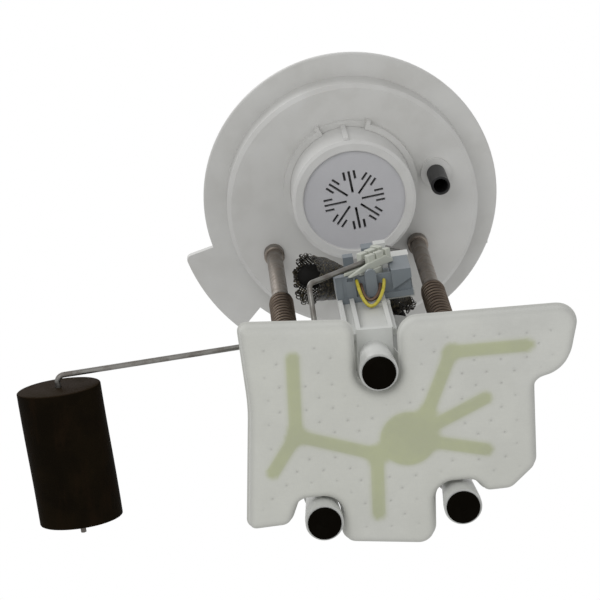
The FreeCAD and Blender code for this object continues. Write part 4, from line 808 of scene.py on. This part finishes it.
def bag_plan(outline, welds):
    """Points over the bag's plan: the outline, rings inset from it, small rings round each weld, a grid, and
    rows along the skeleton's edges."""
    inward = inward_sides(outline)
    layers = [outline]
    for depth in BEVEL_RINGS:
        ring = outline + inward * depth
        layers.append(ring[inside(ring, outline) & (rim_distance(ring, outline) > depth * 0.97)])
    layers.append(welds)
    for r in WELD_RINGS:
        layers.append((welds[:, None] + r * spokes(circle(WELD_SPOKES))).reshape(-1, 2))
    low, high = outline.min(axis=0), outline.max(axis=0)
    x, y = np.meshgrid(np.arange(low[0], high[0], BAG_CELL), np.arange(low[1], high[1], BAG_CELL))
    y = y + np.where(np.arange(x.shape[1]) % 2, BAG_CELL / 2, 0)
    grid = np.stack([x.ravel(), y.ravel()], axis=-1)
    grid = grid[inside(grid, outline)]
    clear = rim_distance(grid, outline) > BEVEL_RINGS[-1] + 0.5
    clear &= point_distance(grid, welds) > 1.35
    clear &= np.abs(skeleton_distance(grid)) > 0.65
    layers.append(grid[clear])
    rails = rib_rails()
    layers.append(rails[point_distance(rails, welds) > 1.1])
    return np.vstack(layers)


def bag_rim(outline, bottom, top):
    """Rows of points from the lower skin's edge to the upper one's. They swell outward by half a sine wave,
    and a Gaussian ridge at half height is the weld between the skins."""
    outward = -inward_sides(outline)
    rows = []
    for share in RIM_SHARES:
        ridge = RIM_RIDGE * math.exp(-((share - 0.5) / RIM_RIDGE_WIDTH) ** 2)
        swell = RIM_SWELL * math.sin(math.pi * share)
        rows.append(np.c_[outline + outward * (ridge + swell), bottom + (top - bottom) * share])
    return rows


def bag_mesh(name, settings):
    """The bag's two skins and its rim. The lower skin rises to the rim by a quarter ellipse over the bevel,
    dips at each weld by a Gaussian, sags in slow waves, and swells a little over the skeleton's ribs. The
    upper skin falls to the rim by a smooth step and has the same dips. Attributes say where each look is."""
    outline = rounded_corners(BAG_OUTLINE)
    welds = weld_places(outline, settings.pitch / MM)
    plan = bag_plan(outline, welds)
    count = len(outline)
    edges = [(i, (i + 1) % count) for i in range(count)]
    corners, _, faces, _, _, _ = delaunay_2d_cdt([Vector(p) for p in plan], edges, [], 1, 1e-5)
    flat = np.array([tuple(p) for p in corners])
    triangles = np.array([f for f in faces if len(f) == 3])
    depth = rim_distance(flat, outline)
    bevel = 1 - np.clip(depth / BEVEL_WIDTH, 0, 1)
    drop = BEVEL_DROP * (1 - np.sqrt(1 - bevel ** 2))
    rib = skeleton_distance(flat)
    over = 1 / (1 + np.exp(rib / RIB_BLUR))
    halo = np.exp(-(rib / HALO_WIDTH) ** 2)
    near = point_distance(flat, welds)
    inner = np.clip((depth - 3) / 8, 0, 1)
    pit = np.exp(-(near / PIT_WIDTH) ** 2) * inner
    pull = np.exp(-(near / PULL_WIDTH) ** 2)
    x, y = flat.T
    wave = np.sin(x / 9.1 + 1.3 * np.sin(y / 13.0)) * np.sin(y / 10.7 + 0.9 * np.sin(x / 17.0))
    dent = settings.depth / MM
    soft = BAG_WAVE * wave * inner - 0.25 * dent * pull * inner
    lower = BAG_BOTTOM + drop + dent * pit - soft - RIB_SWELL * over * inner
    fall = 1 - np.clip(depth / TOP_FALL_WIDTH, 0, 1)
    upper = BAG_TOP - TOP_FALL * fall ** 2 * (3 - 2 * fall) - dent * pit + soft * 0.6
    order = np.array([np.argmin(((flat - p) ** 2).sum(axis=1)) for p in outline])
    n = len(flat)
    rim = bag_rim(outline, lower[order], upper[order])
    rows = [order] + [2 * n + k * count + np.arange(count) for k in range(len(rim))] + [n + order]
    walls = [np.stack([p, np.roll(p, -1), np.roll(q, -1), q], axis=-1) for p, q in zip(rows, rows[1:])]
    walls = np.vstack(walls)
    if not outward_first(outline):
        walls = walls[:, ::-1]
    upward = turning(flat, triangles) > 0
    low_faces = np.where(upward[:, None], triangles[:, ::-1], triangles)
    skins = np.vstack([low_faces, low_faces[:, ::-1] + n])
    points = np.vstack([np.c_[flat, lower], np.c_[flat, upper]] + rim)
    mesh = solid_mesh(name, points * MM, walls, skins)
    rest = len(points) - 2 * n
    store(mesh, "skeleton", np.concatenate([over, over * 0.6, np.zeros(rest)]))
    store(mesh, "halo", np.concatenate([halo * inner, np.zeros(n + rest)]))
    store(mesh, "weld", np.concatenate([pit, pit, np.zeros(rest)]))
    # edge marks where painted shade falls: over the rounded edge of each skin and all of the side wall.
    store(mesh, "edge", np.concatenate([bevel, bevel, np.ones(rest)]))
    return mesh


def turning(flat, triangles):
    """Twice the area of each triangle in the plane, negative where it runs clockwise."""
    a, b, c = (flat[triangles[:, k]] for k in range(3))
    return (b - a)[:, 0] * (c - a)[:, 1] - (b - a)[:, 1] * (c - a)[:, 0]


def outward_first(outline):
    """True where the outline runs anticlockwise, seen from above."""
    x, y = outline[:, 0], outline[:, 1]
    return (x * np.roll(y, -1) - np.roll(x, -1) * y).sum() > 0


def store(mesh, name, values):
    layer = mesh.attributes.new(name, "FLOAT", "POINT")
    layer.data.foreach_set("value", np.ascontiguousarray(values, np.float32))


# Braided sleeve

def sleeve_strand(centres, side, other, radius, phase, winding, weave_phase):
    """The line of one strand and its outward directions: it turns evenly round the sleeve's axis as it goes
    along it, and weaves in and out by a sine of its share of the way."""
    t = np.linspace(0, 1, len(centres))
    angle = phase + winding * t
    spoke = np.cos(angle)[:, None] * side + np.sin(angle)[:, None] * other
    weave = STRAND_LIFT * np.sin(t * WEAVES * 2 * np.pi + weave_phase)
    return centres + spoke * (radius + weave)[:, None], spoke


def curled(tip, ahead, outward, curl, rng):
    """A curl of loose strand: a circle that starts at the strand's tip, tightens evenly as it turns, is
    longer the way the strand goes, and leans outward at random."""
    r = curl * rng.uniform(*CURL_SIZE)
    turn = np.linspace(0, rng.uniform(*CURL_TURN), CURL_POINTS + 1)[1:]
    lean = unit(outward * rng.uniform(*CURL_LEAN) + rng.normal(0, CURL_STRAY, 3))
    lean = unit(lean - ahead * (lean @ ahead))
    size = r * (1 - CURL_TIGHTENS * turn / CURL_TURN[1])
    on = ahead * (size * np.sin(turn))[:, None] * CURL_STRETCH
    return tip + on + lean * (size * (1 - np.cos(turn)))[:, None]


def ribbon(line, outward, width, thick):
    """Rectangular rings along a line, flat against the surface whose outward direction is given."""
    along = unit(np.gradient(line, axis=0))
    across = unit(np.cross(along, outward))
    up = np.cross(across, along)
    corner = np.array([(-1, -1), (1, -1), (1, 1), (-1, 1)], float)
    offset = corner[:, 0, None] * across[:, None] * width / 2 + corner[:, 1, None] * up[:, None] * thick / 2
    return line[:, None] + offset


def braid_mesh(name, route, settings):
    """All strands of the sleeve as one mesh, half of them winding each way, each with a curl at both ends.
    The sleeve's radius follows its table of radii, plus a sine ripple along it."""
    rng = np.random.default_rng(SEED)
    centres = even(route, SLEEVE_POINTS)
    along = unit(np.gradient(centres, axis=0))
    side = unit(np.cross(along, np.array([0.0, 1.0, 0.0])))
    other = np.cross(side, along)
    share, size = np.array(SLEEVE_RADIUS).T
    t = np.linspace(0, 1, len(centres))
    radius = np.interp(t, share, size) * MM + SLEEVE_RIPPLE * np.sin(t * SLEEVE_RIPPLE_PACE)
    parts = []
    for k in range(settings.strands):
        for way in (1, -1):
            phase = 2 * np.pi * (k + 0.5 * (way < 0)) / settings.strands + rng.normal(0, STRAND_STRAY)
            first = rng.integers(0, SHORT_BY[0])
            last = len(centres) - rng.integers(0, SHORT_BY[1])
            weave = phase + (way < 0) * np.pi
            strand = sleeve_strand(centres, side, other, radius, phase, way * WINDING, weave)
            line, spoke = (rows[first:last] for rows in strand)
            head = curled(line[0], unit(line[0] - line[1]), spoke[0], settings.curl, rng)[::-1]
            tail = curled(line[-1], unit(line[-1] - line[-2]), spoke[-1], settings.curl, rng)
            line = np.vstack([head, line, tail])
            spoke = np.pad(spoke, ((CURL_POINTS, CURL_POINTS), (0, 0)), mode="edge")
            parts.append(capped(ribbon(line, spoke, settings.width, STRAND_THICK)))
    return solid_mesh(name, *joined(parts))


# Wiper rocker

def rocker_turned(points):
    """Points given along, through and across the rocker, turned up its slope and moved to its pivot."""
    c, s = math.cos(ROCKER_SLOPE), math.sin(ROCKER_SLOPE)
    along, through, across = np.moveaxis(np.asarray(points, float), -1, 0)
    turned = np.stack([along * c - across * s, through, along * s + across * c + PIVOT_Z], axis=-1)
    return sender_turned(turned)


def prism(outline, near, far, axis=1):
    """Points and quads of an outline, carried from near to far along the axis that the outline doesn't have.
    The outline has an even number of corners, and its quads run from one half of them to the other."""
    outline = np.array(outline, float)
    low = np.insert(outline, axis, near, axis=1)
    high = np.insert(outline, axis, far, axis=1)
    n = len(outline)
    k = np.arange(n // 2 - 1)
    ends = np.stack([k, k + 1, n - 2 - k, n - 1 - k], axis=-1)
    j = np.arange(n)
    sides = np.stack([j, j + n, (j + 1) % n + n, (j + 1) % n], axis=-1)
    return np.vstack([low, high]), np.vstack([ends, ends[:, ::-1] + n, sides])


def slab(along, through, across):
    """A prism with a rectangular outline."""
    (a, b), (c, d) = along, across
    return prism([(a, c), (b, c), (b, d), (a, d)], *through)


def rocker_mesh(name):
    """A thin plate with a pointed wing and a tapered flange, three pairs of jaws that grip the wire, each
    on a pad, a rib along them, and a hub that is a ring turned round the pivot."""
    blocks = [
        slab(ROCKER_PLATE, ROCKER_DEPTH, (-ROCKER_HALF, ROCKER_HALF)),
        prism(ROCKER_WING, *ROCKER_DEPTH),
        prism(ROCKER_FLANGE, *ROCKER_FLANGE_SPAN, axis=2),
    ]
    jaw = (ROCKER_FRONT, JAW_ROOT)
    for a, b, height in ROCKER_CLAWS:
        blocks.append(slab((a, b), jaw, (-JAW_REACH, -WIRE_ROOM)))
        blocks.append(slab((a, b), jaw, (WIRE_ROOM, height)))
        blocks.append(slab((a, b), PAD_DEPTH, (-PAD_HALF, PAD_HALF)))
    blocks.append(slab(RIB_ALONG, RIB_DEPTH, RIB_ACROSS))
    parts = [(rocker_turned(points), quads) for points, quads in blocks]
    angle = circle(HUB_AROUND)
    profile = [(HUB_BORE, HUB_SPAN[0]), (HUB_R, HUB_SPAN[0]), (HUB_R, HUB_SPAN[1]), (HUB_BORE, HUB_SPAN[1])]
    rings = [np.stack([r * np.cos(angle), np.full(HUB_AROUND, y), PIVOT_Z + r * np.sin(angle)], axis=-1)
             for r, y in profile]
    closed = ring_faces(len(profile) + 1, HUB_AROUND) % (len(profile) * HUB_AROUND)
    parts.append((sender_turned(np.vstack(rings)), closed))
    points, quads = joined(parts)
    return solid_mesh(name, points * MM, quads)


# Rubber feet

def foot_mesh(name, node):
    """A foot turned about its own axis: a flat face with a rounded edge, a shallow ring pressed into it,
    and a lip over the end of the boss. The profile gives the radius and height of each ring."""
    low, high = (np.array(v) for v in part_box(node))
    centre = (low + high) / 2
    z = low[2] / MM
    inner = FOOT_LIP_R - FOOT_EDGE
    profile = [(r, z + rise) for r, rise in FOOT_FACE] + [(inner, z)]
    for a in np.linspace(-np.pi / 2, 0, 7):
        profile.append((inner + FOOT_EDGE * math.cos(a), z + FOOT_EDGE + FOOT_EDGE * math.sin(a)))
    profile += [(FOOT_LIP_R, z + FOOT_SIDE), (FOOT_LIP_R - FOOT_LIP_TAPER, FOOT_LIP_TOP)]
    profile += [(FOOT_STEM_R, FOOT_LIP_TOP), (FOOT_STEM_R, high[2] / MM)]
    radius, height = np.array(profile).T * MM
    angle = circle(FOOT_AROUND)
    x = centre[0] + radius[:, None] * np.cos(angle)
    y = centre[1] + radius[:, None] * np.sin(angle)
    rings = np.stack([x, y, np.broadcast_to(height[:, None], x.shape)], axis=-1)
    return solid_mesh(name, *capped(rings))


# Float

def float_mesh(name, settings):
    """An oval block: its section is an ellipse, its ends are rounded by a quarter circle, and its skin strays
    from the true form by slow waves. A hole for the wire runs through it. An attribute marks its ends."""
    spin = [j for j in frame["joints"] if j["name"] == "float_spin"][0]
    centre = np.array(spin["pos_m"])
    axis = unit(np.array(spin["axis"]))
    across = unit(np.cross(axis, np.array([0.0, 0.0, 1.0])))
    up = np.cross(across, axis)
    half_length, half_width, half_height = (half * MM for half in FLOAT_HALF)
    angle = circle(FLOAT_AROUND)
    ends = [(half_length, share) for share in (0.10, 0.55, 0.85)]
    for a in np.linspace(0, np.pi / 2, 7):
        inset = (FLOAT_EDGE / half_height) * (1 - math.sin(a))
        ends.append((half_length - FLOAT_EDGE * (1 - math.cos(a)), 1 - inset))
    straight = half_length - FLOAT_EDGE
    body = [(s, 1.0) for s in np.linspace(straight, -straight, FLOAT_RINGS)[1:-1]]
    profile = np.array(ends + body + [(-s, r) for s, r in reversed(ends)])
    along, share = profile[:, 0], profile[:, 1]
    wave = np.sin(3 * angle[None] + along[:, None] * 60) * np.cos(2 * angle[None] - along[:, None] * 35)
    wave += 0.4 * np.sin(5 * angle[None] + along[:, None] * 90)
    swell = 1 + settings.unevenness / half_height * wave * (share[:, None] > 0.8)
    x = half_width * share[:, None] * np.cos(angle)[None] * swell
    z = half_height * share[:, None] * np.sin(angle)[None] * swell
    hole = FLOAT_HOLE_R / np.hypot(x[0], z[0])
    x[[0, -1]] *= hole
    z[[0, -1]] *= hole
    points = centre + along[:, None, None] * axis + x[..., None] * across + z[..., None] * up
    rings, n = points.shape[:2]
    quads = ring_faces(rings, n)
    j = np.arange(n)
    k = (j + 1) % n
    last = (rings - 1) * n
    bore = np.stack([last + j, j, k, last + k], axis=-1)
    mesh = solid_mesh(name, points.reshape(-1, 3), np.vstack([quads, bore]))
    store(mesh, "cut_end", np.repeat((share < CUT_END_SHARE).astype(float), n))
    return mesh


# Operators, one for each piece or group of like pieces

class Step:
    """What the operators share: each builds its pieces from the scene's settings."""

    def execute(self, context):
        self.build(context.scene)
        return {"FINISHED"}


class PUMP_OT_cover(Step, bpy.types.Operator):
    """Gives the cover, its connector and the black tube their materials"""
    bl_idname = "pump.cover"
    bl_label = "Cover"

    def build(self, scene):
        plastic = moulded_plastic("cover plastic", scene.pump_plastic.cover, 0.40)
        dress(plastic, "flange_cover", "pipe_stubs", "connector_shell")
        dress(bright_metal("tinned pins", (0.62, 0.58, 0.50)), "connector_pins")
        dress(black_rubber("black tube", (0.010, 0.010, 0.0105), 0.45, 0.15, 0.25), "return_tube")


class PUMP_OT_valve(Step, bpy.types.Operator):
    """Gives the vent valve's pieces their materials"""
    bl_idname = "pump.valve"
    bl_label = "Vent valve"

    def build(self, scene):
        plastic = scene.pump_plastic
        tone = tinted(plastic.cover, (0.64, 0.64, 0.63), 0.5)
        dress(moulded_plastic("valve plastic", tone, 0.36), "vent_valve_housing")
        dress(moulded_plastic("valve lid plastic", plastic.lid, 0.34, 0.05, 0.1), "vent_valve_lid")
        dress(moulded_plastic("valve float plastic", (0.030, 0.032, 0.035), 0.45), "vent_valve_float")
        dress(black_rubber("valve seat rubber"), "vent_valve_seat")


class PUMP_OT_rods(Step, bpy.types.Operator):
    """Builds the two round-wire springs and gives the rods and clips their steel"""
    bl_idname = "pump.rods"
    bl_label = "Rods and springs"

    def build(self, scene):
        steel = scene.pump_steel
        dress(drawn_steel("rod steel", steel.rod), "guide_rod_left", "guide_rod_right")
        dress(drawn_steel("clip steel", shade(steel.rod, 0.8)), "spring_stop_clips", "rod_end_clips")
        wire = drawn_steel("spring steel", steel.spring, (500.0, 500.0, 500.0), 0.42)
        low, high = SPRING_BOTTOM * MM, SPRING_TOP * MM
        for side, x in ROD_X.items():
            rings = spring_rings(SPRING_R * MM, steel.wire, low, high, steel.turns, (x * MM, ROD_Y * MM))
            node = "spring_" + side
            mesh = solid_mesh(node, *capped(rings))
            piece = place_piece("spring_coil_" + side, mesh, wire, "flange", "spring_steel", node)
            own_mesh(piece)


class PUMP_OT_hose(Step, bpy.types.Operator):
    """Builds the hose between pump and cover and the braided sleeve round it"""
    bl_idname = "pump.hose"
    bl_label = "Fuel hose"

    def build(self, scene):
        route = even(smooth_route("hose line", HOSE_ROUTE), HOSE_POINTS)
        mesh = solid_mesh("fuel hose", *capped(sweep(route, HOSE_R * MM, HOSE_AROUND, (0, 1, 0))))
        rubber = black_rubber("hose rubber", (0.006, 0.0055, 0.005), 0.7, 0.05, 0.1)
        hose = place_piece("fuel_hose_smooth", mesh, rubber, None, "black_tube", "fuel_hose")
        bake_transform(hose)
        mesh = braid_mesh("hose sleeve", smooth_route("sleeve line", SLEEVE_ROUTE), scene.pump_sleeve)
        strands = strand_material("braid strands")
        braid = place_piece("hose_braid", mesh, strands, None, "black_tube", "hose_sleeve")
        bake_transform(braid)


class PUMP_OT_carrier(Step, bpy.types.Operator):
    """Builds the feet and gives the carrier and the pump their materials"""
    bl_idname = "pump.carrier"
    bl_label = "Carrier and pump"

    def build(self, scene):
        plastic = moulded_plastic("carrier plastic", scene.pump_plastic.carrier, 0.42)
        dress(plastic, "carrier_frame", "strainer_neck", "strainer_skeleton")
        dress(moulded_plastic("pump plastic", (0.022, 0.022, 0.024), 0.42), "pump_inlet_cover",
              "impeller_housing", "impeller", "pump_end_cap", "outlet_elbow", "check_valve_poppet")
        dress(bright_metal("pump can steel", (0.46, 0.45, 0.43), 0.34), "pump_can")
        dress(bright_metal("contact metal", (0.60, 0.50, 0.34)), "pump_terminals", "commutator", "lower_bush",
              "upper_bush")
        dress(drawn_steel("rotor steel", (0.22, 0.22, 0.22)), "rotor_shaft", "armature", "field_magnets",
              "brushes")
        dress(black_rubber("sleeve rubber", dust=0.4), "isolator_sleeve")
        rubber = black_rubber("foot rubber", (0.0026, 0.0020, 0.0010), 0.7, 0.03, 0.015)
        for number in "123":
            node = "rubber_foot_" + number
            mesh = foot_mesh("foot " + number, node)
            place_piece("foot_" + number, mesh, rubber, "carrier", "black_rubber", node)


class PUMP_OT_strainer(Step, bpy.types.Operator):
    """Builds the felt strainer bag with its spot welds and the skeleton showing through"""
    bl_idname = "pump.strainer"
    bl_label = "Strainer"

    def build(self, scene):
        mesh = bag_mesh("strainer felt", scene.pump_strainer)
        felt = felt_material("strainer felt", scene.pump_strainer)
        place_piece("strainer_felt_bag", mesh, felt, "carrier", "strainer_felt", "strainer_bag")


class PUMP_OT_sender(Step, bpy.types.Operator):
    """Dresses the level sender and its arm, and builds its rocker and its two leads"""
    bl_idname = "pump.sender"
    bl_label = "Level sender"

    def build(self, scene):
        plastic = scene.pump_plastic
        dress(moulded_plastic("sender plastic", plastic.sender, 0.38, 0.14, 0.0), "sender_body")
        dress(moulded_plastic("card", (0.10, 0.11, 0.115), 0.30, 0.2, 0.0), "resistor_card")
        look = moulded_plastic("rocker plastic", plastic.rocker, 0.38)
        mesh = rocker_mesh("rocker")
        rocker = place_piece("rocker_with_claws", mesh, look, "arm", "rocker_plastic", "wiper_rocker")
        edges = rocker.modifiers.new("rounded edges", "BEVEL")
        edges.width = ROCKER_EDGE
        edges.segments = 2
        dress(bright_metal("wiper metal", (0.66, 0.62, 0.52)), "wiper_contact")
        dress(drawn_steel("leaf metal", (0.16, 0.155, 0.15), (200.0, 900.0, 300.0)), "sender_leaf")
        dress(drawn_steel("arm steel", (0.17, 0.166, 0.155), (120.0, 900.0, 300.0)), "float_arm")
        for name, (route, colour) in LEADS.items():
            line = even(smooth_route(name + " lead line", sender_turned(route)), LEAD_POINTS)
            mesh = solid_mesh(name + " lead", *capped(sweep(line, LEAD_R * MM, LEAD_AROUND, (0, 1, 0))))
            look = lead_material(name + " lead", colour)
            place_piece("lead_" + name, mesh, look, "carrier", name + "_lead", "sender_lead_" + name)


class PUMP_OT_float(Step, bpy.types.Operator):
    """Builds the foam float"""
    bl_idname = "pump.float"
    bl_label = "Float"

    def build(self, scene):
        mesh = float_mesh("foam float", scene.pump_float)
        foam = foam_material("float foam", scene.pump_float.foam)
        place_piece("foam_float", mesh, foam, "float", "float_foam", "float")


def area_lamp(name, at, target, size, power):
    lamp = bpy.data.lights.new(name, "AREA")
    lamp.shape = "DISK"
    lamp.size = size
    lamp.energy = power
    holder = bpy.data.objects.new(name, lamp)
    holder.location = at
    holder.rotation_euler = (Vector(target) - Vector(at)).to_track_quat("-Z", "Y").to_euler()
    bpy.context.scene.collection.objects.link(holder)


class PUMP_OT_stage(Step, bpy.types.Operator):
    """Builds the floor, the lamps, the white surroundings and the camera"""
    bl_idname = "pump.stage"
    bl_label = "Stage"

    def build(self, scene):
        settings = scene.pump_stage
        self.make_floor(settings.floor)
        self.make_world(settings.fill)
        self.make_lamps(settings.key)
        self.make_camera(scene)

    def make_lamps(self, key):
        eye, up, right = Vector(CAMERA_AT), Vector(CAMERA_UP), Vector(CAMERA_RIGHT)
        area_lamp("key by the camera", eye + up * KEY_UP - right * KEY_LEFT, LAMP_TARGET, KEY_SIZE, key)
        area_lamp("fill by the camera", eye - up * FILL_DOWN + right * FILL_RIGHT, LAMP_TARGET, FILL_SIZE,
                  key * FILL_SHARE)
        area_lamp("key from above", TOP_LAMP_AT, TOP_LAMP_TARGET, TOP_LAMP_SIZE, key * TOP_LAMP_SHARE)

    def make_camera(self, scene):
        camera = bpy.data.cameras.new("camera")
        camera.lens = CAMERA_LENS
        camera.sensor_width = CAMERA_SENSOR
        camera.clip_start = 0.05
        camera.clip_end = 50
        holder = bpy.data.objects.new("camera", camera)
        columns = (CAMERA_RIGHT, CAMERA_UP, CAMERA_BACK, CAMERA_AT)
        holder.matrix_world = Matrix([[c[row] for c in columns] for row in range(3)] + [[0, 0, 0, 1]])
        scene.collection.objects.link(holder)
        scene.camera = holder
        scene.view_settings.view_transform = "Standard"

    def make_floor(self, width):
        """A pale floor under the feet. It shows only from above, so the view from below looks through it, and
        it neither shades nor tints the part, so that light reaches the strainer from below."""
        z = CAD_BOX[0][2] - FLOOR_GAP
        h = width / 2
        points = np.array([(-h, -h, z), (h, -h, z), (h, h, z), (-h, h, z)])
        mesh = bpy.data.meshes.new("floor")
        mesh.from_pydata(points.tolist(), [], [(0, 1, 2, 3)])
        floor = bpy.data.objects.new("floor", mesh)
        bpy.context.scene.collection.objects.link(floor)
        floor.visible_shadow = False
        floor.visible_diffuse = False
        floor.visible_glossy = False
        s = Shader("floor", {"Roughness": 0.9})
        seen = s.node("ShaderNodeLightPath", output="Is Camera Ray")
        back = s.node("ShaderNodeNewGeometry", output="Backfacing")
        speck = s.noise(s.coordinates(), 40.0, 3.0)
        s.feed(s.surface.inputs["Base Color"], s.blend(speck, (0.80, 0.80, 0.80), (0.84, 0.84, 0.84)))
        glow = s.node("ShaderNodeEmission", inputs={"Color": (1, 1, 1), "Strength": FLOOR_GLOW})
        lit = s.node("ShaderNodeAddShader", inputs={0: Value(s, s.surface.outputs[0]), 1: glow})
        pale = s.node("ShaderNodeMixShader", inputs={0: seen, 1: Value(s, s.surface.outputs[0]), 2: lit})
        clear = s.node("ShaderNodeBsdfTransparent")
        both = s.node("ShaderNodeMixShader", inputs={0: back, 1: pale, 2: clear})
        output = s.tree.nodes["Material Output"]
        s.tree.links.new(both.socket, output.inputs["Surface"])
        floor.data.materials.append(s.material)

    def make_world(self, strength):
        """White to the camera, to glossy rays and through glass, and a softer light on everything else."""
        world = bpy.data.worlds.new("white surroundings")
        bpy.context.scene.world = world
        world.use_nodes = True
        tree = world.node_tree
        back = tree.nodes["Background"]
        path = tree.nodes.new("ShaderNodeLightPath")
        most = path.outputs["Is Camera Ray"]
        for ray in ("Is Glossy Ray", "Is Transmission Ray"):
            larger = tree.nodes.new("ShaderNodeMath")
            larger.operation = "MAXIMUM"
            tree.links.new(most, larger.inputs[0])
            tree.links.new(path.outputs[ray], larger.inputs[1])
            most = larger.outputs[0]
        level = tree.nodes.new("ShaderNodeMapRange")
        level.inputs["To Min"].default_value = strength
        level.inputs["To Max"].default_value = 1.0
        tree.links.new(most, level.inputs["Value"])
        tree.links.new(level.outputs["Result"], back.inputs["Strength"])
        back.inputs["Color"].default_value = (1, 1, 1, 1)


class PUMP_PT_panel(bpy.types.Panel):
    """Lists the steps and settings in the 3D view's sidebar"""
    bl_idname = "PUMP_PT_panel"
    bl_label = "Fuel pump module"
    bl_space_type = "VIEW_3D"
    bl_region_type = "UI"
    bl_category = "Fuel Pump"

    def draw(self, context):
        for step in STEPS:
            self.layout.operator(step.bl_idname)
        for key, group in SETTINGS.items():
            box = self.layout.box()
            for name in group.__annotations__:
                box.prop(getattr(context.scene, key), name)


SETTINGS = {
    "pump_plastic": PlasticSettings, "pump_steel": SteelSettings, "pump_strainer": StrainerSettings,
    "pump_float": FloatSettings, "pump_sleeve": SleeveSettings, "pump_stage": StageSettings,
}
STEPS = (
    PUMP_OT_stage, PUMP_OT_cover, PUMP_OT_valve, PUMP_OT_rods, PUMP_OT_hose, PUMP_OT_carrier,
    PUMP_OT_strainer, PUMP_OT_sender, PUMP_OT_float,
)


def register():
    for group in SETTINGS.values():
        bpy.utils.register_class(group)
    for key, group in SETTINGS.items():
        setattr(bpy.types.Scene, key, bpy.props.PointerProperty(type=group))
    for step in STEPS:
        bpy.utils.register_class(step)
    bpy.utils.register_class(PUMP_PT_panel)


def unregister():
    bpy.utils.unregister_class(PUMP_PT_panel)
    for step in reversed(STEPS):
        bpy.utils.unregister_class(step)
    for key, group in SETTINGS.items():
        delattr(bpy.types.Scene, key)
        bpy.utils.unregister_class(group)


def main():
    register()
    for step in STEPS:
        category, name = step.bl_idname.split(".")
        getattr(getattr(bpy.ops, category), name)()


if __name__ == "__main__":
    main()
